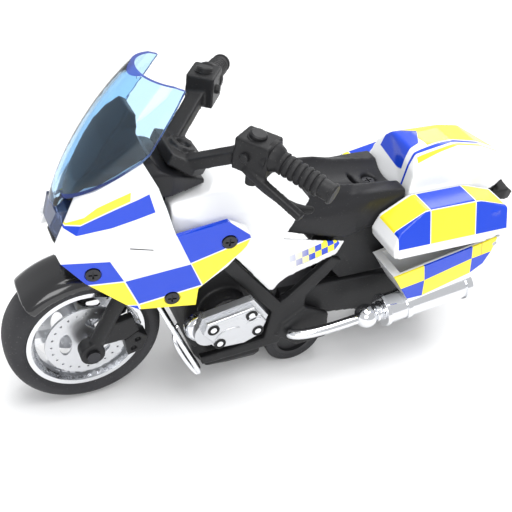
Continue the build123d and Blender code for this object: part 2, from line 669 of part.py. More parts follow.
with BuildPart() as tail_case:
    add(carve(
        [
            (-36.6, 56.0), (-36.6, 70.6), (-46.0, 71.8), (-56.0, 71.0), (-67.0, 67.8), (-77.0, 63.0),
            (-82.4, 59.0), (-81.0, 57.0), (-66.0, 54.4), (-50.0, 54.0),
        ],
        both_ways([(-36.6, 12.0), (-60.0, 12.0), (-72.0, 10.2), (-79.0, 7.0), (-82.4, 3.4)]),
        both_sides([(12.0, 53.0), (12.0, 60.0), (11.0, 66.0), (7.4, 70.4), (3.0, 71.8)]), -50,
    ))
    add(carve(
        [
            (-38.2, 50.0), (-38.2, 69.2), (-46.0, 70.4), (-56.0, 69.6), (-66.6, 66.4), (-76.0, 61.8),
            (-80.0, 59.2), (-80.0, 50.0),
        ],
        both_ways([(-38.2, 11.05), (-60.0, 11.05), (-71.0, 9.1), (-77.4, 6.0), (-80.0, 3.4)]),
        both_sides([(11.2, 50.0), (11.0, 59.6), (9.8, 65.4), (6.8, 69.0), (2.6, 70.4)]), -50,
    ), mode=Mode.SUBTRACT)
save(tail_case.part, "tail_case")

ARCH_R = 24.6             # wheel arch over the rear tyre

with BuildPart() as rear_subframe:
    add(carve(
        [
            (-10.0, 44.0), (-13.6, 47.0), (-13.6, 54.8), (-34.8, 54.8), (-36.8, 53.8), (-50.0, 53.6),
            (-66.0, 53.8), (-78.0, 55.8), (-76.0, 52.0), (-70.0, 47.0), (-64.0, 42.0), (-40.0, 36.0),
            (-34.0, 31.0), (-19.0, 31.0), (-16.4, 34.0),
        ],
        both_ways([(-10.0, 11.0), (-60.0, 11.0), (-72.0, 8.6), (-78.0, 5.4)]),
        both_sides([(11.0, 20.0), (11.0, 60.0)]), -50,
    ))
    add(rod(REAR_X, WHEEL_R, ARCH_R, -8.2, 8.2), mode=Mode.SUBTRACT)
    add(slab([(-15.0, 25.0), (-34.0, 25.0), (-34.0, 46.0), (-15.0, 50.0)], -8.2, 8.2), mode=Mode.SUBTRACT)
    add(slab([(-5.0, 40.0), (-13.4, 40.0), (-13.4, 54.9), (-5.0, 54.9)], -4.0, 4.0), mode=Mode.SUBTRACT)
    with BuildSketch(Plane.XY.offset(40)):
        with Locations((-30.2, 0)):
            Circle(1.0)
    extrude(amount=20, mode=Mode.SUBTRACT)
save(rear_subframe.part, "rear_subframe")

with BuildPart() as plate_bracket:
    add(carve(
        [
            (-65.0, 48.6), (-70.6, 51.6), (-76.2, 51.9), (-79.0, 54.4), (-81.8, 55.4),
            (-80.4, 52.0), (-83.0, 50.2), (-81.4, 47.6), (-76.0, 48.6), (-70.0, 46.8),
        ],
        both_ways([(-65.0, 5.0), (-74.0, 8.4), (-79.0, 9.0), (-83.0, 8.2)]),
        both_sides([(9.0, 40.0), (9.0, 52.0), (4.0, 53.0), (1.2, 56.0)]), -70,
    ))
    add(rear_subframe.part, mode=Mode.SUBTRACT)
    add(rod(REAR_X, WHEEL_R, ARCH_R, -8.2, 8.2), mode=Mode.SUBTRACT)
save(plate_bracket.part, "plate_bracket")

# ---- panniers ---------------------------------------------------------------------------------------------
# Outlines are drawn from the hinge pin, level; the box is then tilted nose-down.
HINGE = Axis((HINGE_X, 0, HINGE_Z), (0, 1, 0))
RIM_W = 2.2               # rim height above the hinge pin
LID_W = 2.5               # lower edge of the lid
CORNER_R = 3.0            # rounded corner of the box about the pin
EAR_R = 1.6
EAR_T = 1.2
BOX_T = 1.2
EARS_Y = (PANNIER_IN + BOX_T + 0.4, PANNIER_OUT - BOX_T - 0.4 - EAR_T)


def from_pin(points):
    return [(HINGE_X + u, HINGE_Z + w) for u, w in points]


def tilted(part, angle):
    """Turn about the hinge pin; a positive angle lowers the front."""
    return part.rotate(HINGE, angle)


box_outer = from_pin([
    (35.8, RIM_W), (0.0, RIM_W), (-3.0, 0), (-1.6, -4.6), (1.4, -8.6), (6.0, -10.8), (30.4, -10.8),
])
box_inner = from_pin([
    (34.4, 6.0), (-1.8, 6.0), (-1.8, 0), (-0.2, -4.4), (2.4, -7.8), (6.6, -9.6), (29.4, -9.6),
])

with BuildPart() as pannier_box:
    add(slab(box_outer, PANNIER_IN, PANNIER_OUT))
    with BuildSketch(side_plane(0, PANNIER_IN, 0)):
        with Locations((HINGE_X, HINGE_Z)):
            Circle(CORNER_R)
    extrude(amount=-(PANNIER_OUT - PANNIER_IN))
    add(slab(from_pin([(-9.0, RIM_W), (9.0, RIM_W), (9.0, 9.0), (-9.0, 9.0)]), 0, PAD), mode=Mode.SUBTRACT)
    add(slab(box_inner, PANNIER_IN + BOX_T, PANNIER_OUT - BOX_T), mode=Mode.SUBTRACT)
    for y in EARS_Y:
        ear_slot = from_pin([(-9.0, -1.0), (0.0, -1.0), (0.0, 6.0), (-9.0, 6.0)])
        add(slab(ear_slot, y - 0.35, y + EAR_T + 0.35), mode=Mode.SUBTRACT)
    with BuildSketch(side_plane(0, PANNIER_IN, 0)):
        with Locations((HINGE_X, HINGE_Z)):
            Circle(PIN_R + 0.02)
    extrude(amount=-(PANNIER_OUT - PANNIER_IN), mode=Mode.SUBTRACT)
pannier_box = tilted(pannier_box.part, PANNIER_TILT)
save_pair(pannier_box, "pannier_box")

with BuildPart() as hinge_pin:
    add(rod(HINGE_X, HINGE_Z, PIN_R, PANNIER_IN + 0.1, PANNIER_OUT - 0.2))
save_group(hinge_pin.part, "pannier_hinge_pins")

lid_outer = from_pin([
    (37.4, LID_W), (38.2, 5.4), (36.4, 9.8), (27.0, 15.4),
    (8.6, 15.6), (-3.6, 11.6), (-4.8, 6.0), (-4.8, LID_W),
])
lid_inner = from_pin([
    (36.0, 0), (36.0, 5.8), (34.8, 9.0), (26.6, 14.1), (9.0, 14.3), (-2.6, 10.6), (-3.5, 5.6), (-3.5, 0),
])

with BuildPart() as lid_hollow:
    with BuildSketch(side_plane(0, PANNIER_IN + BOX_T, 0)):
        Polygon(*lid_inner, align=None)
    extrude(amount=-(PANNIER_OUT - PANNIER_IN - BOX_T - 0.8))
    with BuildSketch(Plane(origin=(HINGE_X - 10, 0, HINGE_Z), x_dir=(0, 1, 0), z_dir=(1, 0, 0))):
        Polygon(
            (PANNIER_IN, -1), (PANNIER_OUT - 1.2, -1), (PANNIER_OUT - 0.8, 5.0), (PANNIER_OUT - 4.4, 14.4),
            (PANNIER_IN, 14.4), align=None,
        )
    extrude(amount=60, mode=Mode.INTERSECT)

with BuildPart() as pannier_lid:
    with BuildSketch(side_plane(0, PANNIER_IN, 0)):
        Polygon(*lid_outer, align=None)
    extrude(amount=-(PANNIER_OUT + 0.4 - PANNIER_IN))
    with BuildSketch(Plane(origin=(HINGE_X - 10, 0, HINGE_Z), x_dir=(0, 1, 0), z_dir=(1, 0, 0))):
        Polygon(
            (PANNIER_IN, 0), (PANNIER_OUT, 0), (PANNIER_OUT + 0.4, 5.0), (PANNIER_OUT - 3.4, 15.0),
            (PANNIER_OUT - 4.4, 15.7), (PANNIER_IN + 1.2, 15.7), (PANNIER_IN, 14.8), align=None,
        )
    extrude(amount=60, mode=Mode.INTERSECT)
    add(lid_hollow.part, mode=Mode.SUBTRACT)
    add(rod(HINGE_X, HINGE_Z, CORNER_R + 0.35, 0, PAD), mode=Mode.SUBTRACT)
    for y in EARS_Y:
        add(rod(HINGE_X, HINGE_Z, EAR_R, y, y + EAR_T))
        add(slab(from_pin([(-0.3, 0), (EAR_R, 0), (EAR_R + 1.4, 11.6), (0.6, 11.6)]), y, y + EAR_T))
    with BuildSketch(side_plane(0, 0, 0)):
        with Locations((HINGE_X, HINGE_Z)):
            Circle(PIN_R + RUN)
    extrude(amount=-PAD, mode=Mode.SUBTRACT)
pannier_lid_open = pannier_lid.part
save(pannier_lid_open, "pannier_lid_left")
save(mirror(tilted(pannier_lid_open, PANNIER_TILT), about=Plane.XZ), "pannier_lid_right")

# ---- swingarm and exhaust -----------------------------------------------------------------------
ARM_IN = 8.25
ARM_OUT = 11.4

with BuildPart() as swingarm:
    arm = [
        (1.6, 30.4), (1.6, 22.6), (-8.0, 21.2), (-16.6, 17.6), (-30.0, 15.6), (-46.0, 16.4),
        (-54.0, 19.4), (-55.0, 26.0), (-47.0, 28.4), (-34.0, 29.6), (-15.0, 30.4),
    ]
    add(slab(arm, ARM_IN, ARM_OUT))
    add(slab(arm, -ARM_OUT, -ARM_IN))
    add(slab([(-21.6, 17.4), (-24.6, 17.0), (-24.6, 29.4), (-21.6, 29.4)], -ARM_IN, ARM_IN))
    add(rod(REAR_X, WHEEL_R, AXLE_R + 0.02, -PAD, PAD), mode=Mode.SUBTRACT)
save(swingarm.part, "swingarm")

PIPE_Y = 20.4
PIPE_R = 1.7
BALL_R = 3.9
BALL = Vector(-25.4, PIPE_Y, 21.4)
CAN_START = Vector(-30.6, PIPE_Y, 22.2)
CAN_END = Vector(-62.0, PIPE_Y, 26.4)
CAN_AXIS = (CAN_END - CAN_START).normalized()


def can_plane(distance):
    return Plane(origin=CAN_START + CAN_AXIS * distance, x_dir=(0, 1, 0), z_dir=CAN_AXIS)


pipe_bends = [
    Vector(-1.0, 15.02, 17.0), Vector(-1.0, 17.2, 17.2),
    Vector(-8.0, 19.4, 18.8), Vector(-16.0, 20.2, 20.1), BALL,
]

with BuildPart() as exhaust_pipe:
    add(ball(BALL, BALL_R, CAN_AXIS))
    for start, end in zip(pipe_bends[:-1], pipe_bends[1:]):
        with BuildSketch(Plane(origin=start, x_dir=(0, 0, 1), z_dir=end - start)):
            Circle(PIPE_R)
        extrude(amount=(end - start).length)
    for before, bend, after in zip(pipe_bends[:-2], pipe_bends[1:-1], pipe_bends[2:]):
        add(ball(bend, PIPE_R + 0.05, after - before))
    with BuildSketch(Plane(origin=BALL, x_dir=(0, 1, 0), z_dir=CAN_AXIS)):
        Circle(2.6)
    extrude(amount=(CAN_START - BALL).length - 0.02)
save(exhaust_pipe.part, "exhaust_pipe")

with BuildPart() as silencer:
    with BuildSketch(can_plane(0)):
        Circle(4.8)
    extrude(amount=(CAN_END - CAN_START).length)
    with BuildSketch(can_plane((CAN_END - CAN_START).length)):
        Circle(3.4)
    extrude(amount=-7.0, mode=Mode.SUBTRACT)
    with BuildSketch(can_plane(0)):
        Circle(5.3)
    extrude(amount=1.6)
save(silencer.part, "silencer")

with BuildPart() as silencer_bands:
    for start, width in ((7.4, 1.6), (29.4, 2.2)):
        with BuildSketch(can_plane(start)):
            Circle(5.3)
            Circle(4.82, mode=Mode.SUBTRACT)
        extrude(amount=width)
save(silencer_bands.part, "silencer_bands")

# ---- pull-back motor ----------------------------------------------------------------------------
CASE_X = (-20.0, 13.6)
CASE_Z = (4.8, 26.6)
CASE_T = 1.2
DRUM_X = 4.4
DRUM_Z = 16.0
TOOTH = 0.34              # tooth thickness as a share of the tooth pitch
ADDENDUM = 0.45
DEDENDUM = 0.62


def pitch_radius(teeth):
    return MODULE * teeth / 2


def gear_plate(x, z, teeth, phase, y_low, y_high):
    """Spur gear along Y with one tooth centred on the phase angle."""
    pitch = pitch_radius(teeth)
    half = pi_half_tooth(teeth)
    with BuildPart() as gear:
        with BuildSketch(side_plane(x, y_low, z)):
            Circle(pitch - DEDENDUM * MODULE)
            with Locations(Location((0, 0, 0), (0, 0, phase))):
                with PolarLocations(0, teeth):
                    Polygon(
                        (pitch - 1.2 * MODULE, half * 1.5), (pitch - 1.2 * MODULE, -half * 1.5),
                        (pitch + ADDENDUM * MODULE, -half * 0.7), (pitch + ADDENDUM * MODULE, half * 0.7),
                        align=None,
                    )
        extrude(amount=y_low - y_high)
    return gear.part


def pi_half_tooth(teeth):
    """Half the tooth thickness at the pitch circle."""
    return radians(360 / teeth) * pitch_radius(teeth) * TOOTH / 2


def meshing_phase(x1, z1, teeth1, phase1, x2, z2, teeth2):
    """Phase of gear 2 that puts its gaps on the teeth of gear 1."""
    line = degrees(atan2(z2 - z1, x2 - x1))
    ahead = (line - phase1) % (360 / teeth1)
    return line + 180 + 180 / teeth2 + ahead * teeth1 / teeth2


to_drum = Vector(DRUM_X - DRIVE_X, 0, DRUM_Z - DRIVE_R)
reach_axle = pitch_radius(PINION_TEETH) + pitch_radius(IDLER_TEETH) + MESH_PLAY
reach_drum = pitch_radius(IDLER_TEETH) + pitch_radius(DRUM_TEETH) + MESH_PLAY
foot = (reach_axle**2 - reach_drum**2 + to_drum.length**2) / (2 * to_drum.length)
rise = sqrt(reach_axle**2 - foot**2)
ahead_dir = to_drum.normalized()
idler_at = Vector(DRIVE_X, 0, DRIVE_R) + ahead_dir * foot + Vector(-ahead_dir.Z, 0, ahead_dir.X) * rise
IDLER_X = idler_at.X
IDLER_Z = idler_at.Z

pinion_phase = 0.0
idler_phase = meshing_phase(DRIVE_X, DRIVE_R, PINION_TEETH, pinion_phase, IDLER_X, IDLER_Z, IDLER_TEETH)
drum_phase = meshing_phase(IDLER_X, IDLER_Z, IDLER_TEETH, idler_phase, DRUM_X, DRUM_Z, DRUM_TEETH)
case_outline = [
    (CASE_X[0], CASE_Z[0]), (CASE_X[1], CASE_Z[0]), (CASE_X[1], CASE_Z[1]), (CASE_X[0] + 4, CASE_Z[1]),
    (CASE_X[0], CASE_Z[1] - 4),
]
case_inner = [
    (CASE_X[0] + CASE_T, CASE_Z[0] + CASE_T), (CASE_X[1] - CASE_T, CASE_Z[0] + CASE_T),
    (CASE_X[1] - CASE_T, CASE_Z[1] - CASE_T), (CASE_X[0] + 4.5, CASE_Z[1] - CASE_T),
    (CASE_X[0] + CASE_T, CASE_Z[1] - 4.5),
]
INNER_Y = CASE_HALF - CASE_T

with BuildPart() as motor_case:
    add(slab(case_outline, -CASE_HALF, INNER_Y))
    add(slab(case_inner, -INNER_Y, PAD), mode=Mode.SUBTRACT)
    add(rod(DRIVE_X, DRIVE_R, DRIVE_AXLE_R + RUN, -PAD, 0), mode=Mode.SUBTRACT)
    add(rod(IDLER_X, IDLER_Z, 1.0 + RUN, -PAD, 0), mode=Mode.SUBTRACT)
    add(rod(DRUM_X, DRUM_Z, 1.22, -PAD, 0), mode=Mode.SUBTRACT)
save(motor_case.part, "motor_case")

with BuildPart() as motor_cover:
    add(slab(case_outline, INNER_Y + 0.02, CASE_HALF))
    add(rod(DRIVE_X, DRIVE_R, DRIVE_AXLE_R + RUN, 0, PAD), mode=Mode.SUBTRACT)
    add(rod(IDLER_X, IDLER_Z, 1.0 + RUN, 0, PAD), mode=Mode.SUBTRACT)
    add(rod(DRUM_X, DRUM_Z, 1.22, 0, PAD), mode=Mode.SUBTRACT)
save(motor_cover.part, "motor_cover")

with BuildPart() as spring_arbor:
    add(rod(DRUM_X, DRUM_Z, 1.2, -CASE_HALF, CASE_HALF))
save(spring_arbor.part, "spring_arbor")

GEAR_Y = (-4.6, -2.8)
DRUM_RIM = 6.6

with BuildPart() as spring_drum:
    add(gear_plate(DRUM_X, DRUM_Z, DRUM_TEETH, drum_phase, *GEAR_Y))
    add(rod(DRUM_X, DRUM_Z, DRUM_RIM, GEAR_Y[1], 3.8))
    add(rod(DRUM_X, DRUM_Z, DRUM_RIM - 0.8, GEAR_Y[1] + 0.4, PAD), mode=Mode.SUBTRACT)
    add(rod(DRUM_X, DRUM_Z, 1.2 + RUN, -PAD, PAD), mode=Mode.SUBTRACT)
save(spring_drum.part, "spring_drum")

SPRING_TURNS = 3
SPRING_T = 0.3
STEPS = 36                # points along each turn of the coil


def coil(extra):
    """Points of the coil from the arbor outwards, moved out by an extra radius."""
    points = []
    for i in range(SPRING_TURNS * STEPS + 1):
        turn = i / STEPS
        radius = 1.34 + 1.2 * turn + extra
        points.append((radius * cos(radians(360 * turn)), radius * sin(radians(360 * turn))))
    return points


with BuildPart() as mainspring:
    with BuildSketch(side_plane(DRUM_X, -1.8, DRUM_Z)):
        with BuildLine():
            inner_run = Spline(*coil(0))
            outer_run = Spline(*coil(SPRING_T))
            Line(inner_run @ 0, outer_run @ 0)
            Line(inner_run @ 1, outer_run @ 1)
        make_face()
    extrude(amount=-5.0)
save(mainspring.part, "mainspring")

with BuildPart() as idler_gear:
    add(gear_plate(IDLER_X, IDLER_Z, IDLER_TEETH, idler_phase, *GEAR_Y))
    add(rod(IDLER_X, IDLER_Z, 1.0, 0.2 - CASE_HALF, CASE_HALF - 0.2))
save(idler_gear.part, "idler_gear")

HUB_IN = 7.7
HUB_OUT = 11.5

with BuildPart() as drive_axle:
    add(rod(DRIVE_X, DRIVE_R, DRIVE_AXLE_R, 0.2 - HUB_OUT, HUB_OUT - 0.2))
    add(gear_plate(DRIVE_X, DRIVE_R, PINION_TEETH, pinion_phase, *GEAR_Y))
save(drive_axle.part, "drive_axle")

with BuildPart() as drive_hub:
    add(rod(DRIVE_X, DRIVE_R, 7.4, HUB_IN, HUB_OUT))
    with BuildSketch(side_plane(DRIVE_X, HUB_OUT, DRIVE_R)):
        Circle(6.2)
        Circle(2.4, mode=Mode.SUBTRACT)
    extrude(amount=1.2, mode=Mode.SUBTRACT)
    add(rod(DRIVE_X, DRIVE_R, DRIVE_AXLE_R + 0.02, 0, PAD), mode=Mode.SUBTRACT)
save_group(drive_hub.part, "drive_hubs")

with BuildPart() as drive_tyre:
    with BuildSketch(side_plane(DRIVE_X, HUB_IN, DRIVE_R)):
        Circle(DRIVE_R)
        Circle(7.42, mode=Mode.SUBTRACT)
    extrude(amount=HUB_IN - HUB_OUT)
    fillet(drive_tyre.edges().filter_by(GeomType.CIRCLE).sort_by(SortBy.RADIUS)[-2:], 0.6)
save_group(drive_tyre.part, "drive_tyres")
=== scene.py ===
"""Looks of the pull-back tourer motorcycle: softened mouldings, clear screen, printed panels
and metal trim."""

import json
import math

import bmesh
import bpy
from mathutils import Matrix, Vector

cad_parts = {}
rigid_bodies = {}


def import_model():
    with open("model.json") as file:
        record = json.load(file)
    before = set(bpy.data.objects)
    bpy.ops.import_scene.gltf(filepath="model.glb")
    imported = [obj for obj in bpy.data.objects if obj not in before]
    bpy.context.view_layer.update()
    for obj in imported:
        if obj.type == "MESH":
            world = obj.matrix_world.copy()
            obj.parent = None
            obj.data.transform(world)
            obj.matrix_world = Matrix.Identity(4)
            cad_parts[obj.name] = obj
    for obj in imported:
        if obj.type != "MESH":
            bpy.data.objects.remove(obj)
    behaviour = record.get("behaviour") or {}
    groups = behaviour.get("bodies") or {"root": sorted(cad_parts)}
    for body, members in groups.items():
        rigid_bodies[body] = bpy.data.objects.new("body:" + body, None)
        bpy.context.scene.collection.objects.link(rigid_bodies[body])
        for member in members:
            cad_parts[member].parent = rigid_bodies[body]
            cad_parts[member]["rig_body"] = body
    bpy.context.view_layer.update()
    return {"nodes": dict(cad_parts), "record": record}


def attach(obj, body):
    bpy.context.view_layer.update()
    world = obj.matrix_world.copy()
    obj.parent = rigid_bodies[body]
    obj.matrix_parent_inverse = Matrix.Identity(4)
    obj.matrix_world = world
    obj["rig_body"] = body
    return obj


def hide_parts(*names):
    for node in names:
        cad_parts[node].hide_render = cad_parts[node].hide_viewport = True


for leftover in list(bpy.data.objects):
    bpy.data.objects.remove(leftover)

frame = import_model()
body_of_node = {name: piece["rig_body"] for name, piece in frame["nodes"].items()}

MM = 0.001
X, Y, Z = 0, 1, 2

# ---- colours ------------------------------------------------------------------------------------
SHELL_WHITE = (0.84, 0.85, 0.86)
BLUE = (0.003, 0.05, 0.58)
YELLOW = (0.93, 0.80, 0.035)
REFLECTOR_ORANGE = (0.80, 0.30, 0.02)
INK_BLACK = (0.01, 0.01, 0.012)
DUST_GREY = (0.45, 0.44, 0.42)
MOULDED_BLACK = (0.012, 0.012, 0.013)
TYRE_BLACK = (0.028, 0.028, 0.031)
PLATED = (0.80, 0.81, 0.83)
CAST_SILVER = (0.62, 0.63, 0.65)


# ---- shader helpers -----------------------------------------------------------------------------
def add_node(tree, kind, **settings):
    made = tree.nodes.new(kind)
    for key, value in settings.items():
        setattr(made, key, value)
    return made


def math_node(tree, operation, first, second=None):
    """A Math node whose inputs are sockets or plain numbers."""
    made = add_node(tree, "ShaderNodeMath", operation=operation)
    for index, value in enumerate((first, second)):
        if value is None:
            continue
        if isinstance(value, (int, float)):
            made.inputs[index].default_value = value
        else:
            tree.links.new(value, made.inputs[index])
    return made.outputs[0]


def mix_colour(tree, factor, below, above):
    """Mix of two colours, each a socket or a plain triple."""
    made = add_node(tree, "ShaderNodeMix", data_type="RGBA")
    tree.links.new(factor, made.inputs["Factor"])
    for index, value in ((6, below), (7, above)):
        if isinstance(value, tuple):
            made.inputs[index].default_value = (*value, 1)
        else:
            tree.links.new(value, made.inputs[index])
    return made.outputs[2]


def shader_group(name, inputs, outputs):
    """An empty node group with named float or vector sockets."""
    group = bpy.data.node_groups.new(name, "ShaderNodeTree")
    for socket_name, kind, default in inputs:
        socket = group.interface.new_socket(name=socket_name, in_out="INPUT", socket_type=kind)
        if default is not None:
            socket.default_value = default
    for socket_name in outputs:
        group.interface.new_socket(name=socket_name, in_out="OUTPUT", socket_type="NodeSocketFloat")
    return group, add_node(group, "NodeGroupInput"), add_node(group, "NodeGroupOutput")


DRIFT_SCALE = 38.0        # slow change of tone and level
SWELL_SHARE = 0.8         # how much of the relief is slow swell
SPECK_SCALE = 2600.0      # dust specks
SPECK_START, SPECK_FULL = 0.70, 0.78


def moulded_surface_group():
    """Fine mould texture, slow tone drift, handling smears and settled dust of a plastic or
    cast part."""
    group, inside, out = shader_group(
        "moulded surface",
        [("Vector", "NodeSocketVector", None), ("Grain Scale", "NodeSocketFloat", 1800.0),
         ("Grain Depth", "NodeSocketFloat", 0.3), ("Smear Scale", "NodeSocketFloat", 55.0)],
        ["Tone", "Smear", "Height", "Dust"],
    )
    drift = add_node(group, "ShaderNodeTexNoise")
    drift.inputs["Scale"].default_value = DRIFT_SCALE
    drift.inputs["Detail"].default_value = 3.0
    group.links.new(inside.outputs["Vector"], drift.inputs["Vector"])
    group.links.new(drift.outputs["Fac"], out.inputs["Tone"])
    smear = add_node(group, "ShaderNodeTexNoise")
    smear.inputs["Detail"].default_value = 5.0
    smear.inputs["Distortion"].default_value = 1.2
    group.links.new(inside.outputs["Vector"], smear.inputs["Vector"])
    group.links.new(inside.outputs["Smear Scale"], smear.inputs["Scale"])
    group.links.new(smear.outputs["Fac"], out.inputs["Smear"])
    grain = add_node(group, "ShaderNodeTexNoise")
    grain.inputs["Detail"].default_value = 4.0
    group.links.new(inside.outputs["Vector"], grain.inputs["Vector"])
    group.links.new(inside.outputs["Grain Scale"], grain.inputs["Scale"])
    swell = math_node(group, "MULTIPLY", drift.outputs["Fac"], SWELL_SHARE)
    fine = math_node(group, "MULTIPLY", grain.outputs["Fac"], inside.outputs["Grain Depth"])
    group.links.new(math_node(group, "ADD", swell, fine), out.inputs["Height"])
    specks = add_node(group, "ShaderNodeTexNoise")
    specks.inputs["Scale"].default_value = SPECK_SCALE
    specks.inputs["Detail"].default_value = 1.0
    group.links.new(inside.outputs["Vector"], specks.inputs["Vector"])
    speck = add_node(group, "ShaderNodeMapRange", interpolation_type="SMOOTHSTEP")
    speck.inputs["From Min"].default_value = SPECK_START
    speck.inputs["From Max"].default_value = SPECK_FULL
    group.links.new(specks.outputs["Fac"], speck.inputs["Value"])
    group.links.new(speck.outputs["Result"], out.inputs["Dust"])
    return group


MOULDED_SURFACE = moulded_surface_group()
PRINT_BLUR = 0.10 * MM    # width of the edge of a printed mark


def outline_mask(tree, position, points, axes):
    """One inside a convex outline, given in millimetres on two of the object's axes, and zero
    outside."""
    middle = [sum(p[i] for p in points) / len(points) for i in (0, 1)]
    nearest = None
    for start, end in zip(points, points[1:] + points[:1]):
        normal = Vector((start[1] - end[1], end[0] - start[0])).normalized()
        if normal.dot(Vector(middle) - Vector(start)) < 0:
            normal = -normal
        direction = [0.0, 0.0, 0.0]
        direction[axes[0]] = normal.x
        direction[axes[1]] = normal.y
        dot = add_node(tree, "ShaderNodeVectorMath", operation="DOT_PRODUCT")
        tree.links.new(position, dot.inputs[0])
        dot.inputs[1].default_value = direction
        inward = math_node(tree, "SUBTRACT", dot.outputs["Value"], normal.dot(Vector(start)) * MM)
        nearest = inward if nearest is None else math_node(tree, "MINIMUM", nearest, inward)
    edge = add_node(tree, "ShaderNodeMapRange", interpolation_type="SMOOTHSTEP")
    edge.inputs["From Min"].default_value = -PRINT_BLUR / 2
    edge.inputs["From Max"].default_value = PRINT_BLUR / 2
    tree.links.new(nearest, edge.inputs["Value"])
    return edge.outputs["Result"]


def mirrored_position(tree, position):
    """Object position with Y made positive, so that one set of marks serves both sides."""
    parts = add_node(tree, "ShaderNodeSeparateXYZ")
    tree.links.new(position, parts.inputs[0])
    whole = add_node(tree, "ShaderNodeCombineXYZ")
    tree.links.new(parts.outputs[0], whole.inputs[0])
    tree.links.new(math_node(tree, "ABSOLUTE", parts.outputs[1]), whole.inputs[1])
    tree.links.new(parts.outputs[2], whole.inputs[2])
    return whole.outputs[0]


def chequer_mask(tree, position, origin, along, across, cell):
    """Alternate squares of a board laid on two directions from an origin, sizes in millimetres."""
    shift = add_node(tree, "ShaderNodeVectorMath", operation="SUBTRACT")
    tree.links.new(position, shift.inputs[0])
    shift.inputs[1].default_value = [value * MM for value in origin]
    board = add_node(tree, "ShaderNodeCombineXYZ")
    for index, (direction, size) in enumerate(((along, cell[0]), (across, cell[1]))):
        dot = add_node(tree, "ShaderNodeVectorMath", operation="DOT_PRODUCT")
        tree.links.new(shift.outputs[0], dot.inputs[0])
        dot.inputs[1].default_value = Vector(direction).normalized() / (size * MM)
        tree.links.new(dot.outputs["Value"], board.inputs[index])
    board.inputs[2].default_value = 0.5
    squares = add_node(tree, "ShaderNodeTexChecker")
    squares.inputs["Scale"].default_value = 1.0
    tree.links.new(board.outputs[0], squares.inputs["Vector"])
    return squares.outputs["Fac"]


def fade_mask(tree, position, start, end):
    """Grows from nothing to one between two places along the object's length, in millimetres."""
    parts = add_node(tree, "ShaderNodeSeparateXYZ")
    tree.links.new(position, parts.inputs[0])
    ramp = add_node(tree, "ShaderNodeMapRange")
    ramp.inputs["From Min"].default_value = start * MM
    ramp.inputs["From Max"].default_value = end * MM
    tree.links.new(parts.outputs[0], ramp.inputs["Value"])
    return ramp.outputs["Result"]


RELIEF = 0.3 * MM         # height that a bump strength of one stands for


def surface(name, colour, rough, grain=(1800.0, 0.25), bump=0.06, tone=0.05, dust=0.0, marks=(),
            **sockets):
    """A moulded, printed or metal finish. A mark is a colour, its convex outlines on pairs of
    axes, and extras: one side only, a chequer board, or a fade along the length."""
    made = bpy.data.materials.new(name)
    made.use_nodes = True
    tree = made.node_tree
    shader = tree.nodes["Principled BSDF"]
    position = add_node(tree, "ShaderNodeTexCoord").outputs["Object"]
    moulding = add_node(tree, "ShaderNodeGroup")
    moulding.node_tree = MOULDED_SURFACE
    tree.links.new(position, moulding.inputs["Vector"])
    moulding.inputs["Grain Scale"].default_value = grain[0]
    moulding.inputs["Grain Depth"].default_value = grain[1]
    darker = tuple(value * (1 - tone) for value in colour)
    lighter = tuple(min(1.0, value * (1 + tone)) for value in colour)
    paint = mix_colour(tree, moulding.outputs["Tone"], darker, lighter)
    either_side = mirrored_position(tree, position) if marks else None
    for mark_colour, outlines, extras in marks:
        place = position if extras.get("one_side") else either_side
        mask = None
        for points, axes in outlines:
            inside = outline_mask(tree, place, points, axes)
            mask = inside if mask is None else math_node(tree, "MULTIPLY", mask, inside)
        if "board" in extras:
            board = chequer_mask(tree, place, *extras["board"])
            mask = math_node(tree, "MULTIPLY", mask, board)
        if "fade" in extras:
            fade = fade_mask(tree, place, *extras["fade"])
            mask = math_node(tree, "MULTIPLY", mask, fade)
        paint = mix_colour(tree, mask, paint, mark_colour)
    if dust:
        amount = math_node(tree, "MULTIPLY", moulding.outputs["Dust"], dust)
        paint = mix_colour(tree, amount, paint, DUST_GREY)
    tree.links.new(paint, shader.inputs["Base Color"])
    spread = add_node(tree, "ShaderNodeMapRange")
    spread.inputs["From Min"].default_value = 0.3
    spread.inputs["From Max"].default_value = 0.7
    spread.inputs["To Min"].default_value = rough[0]
    spread.inputs["To Max"].default_value = rough[1]
    tree.links.new(moulding.outputs["Smear"], spread.inputs["Value"])
    tree.links.new(spread.outputs["Result"], shader.inputs["Roughness"])
    relief = add_node(tree, "ShaderNodeBump")
    relief.inputs["Strength"].default_value = bump
    relief.inputs["Distance"].default_value = RELIEF
    tree.links.new(moulding.outputs["Height"], relief.inputs["Height"])
    tree.links.new(relief.outputs["Normal"], shader.inputs["Normal"])
    for socket, value in sockets.items():
        shader.inputs[socket.replace("_", " ")].default_value = value
    return made


# ---- printed blocks -----------------------------------------------------------------------------
REACH = 90.0              # past both ends of the toy
FAR_OUT = 60.0            # past its widest part


def seen_from_side(colour, *points, beyond=None, **extras):
    """A mark drawn on the side, kept to what lies beyond a distance from the middle if one is
    given."""
    outlines = [(list(points), (X, Z))]
    if beyond:
        outside = [(-REACH, beyond), (-REACH, FAR_OUT), (REACH, FAR_OUT), (REACH, beyond)]
        outlines.append((outside, (X, Y)))
    return (colour, outlines, extras)


def seen_from_above(colour, *points):
    """A mark drawn on top, where the two sides differ."""
    return (colour, [(list(points), (X, Y))], {"one_side": True})


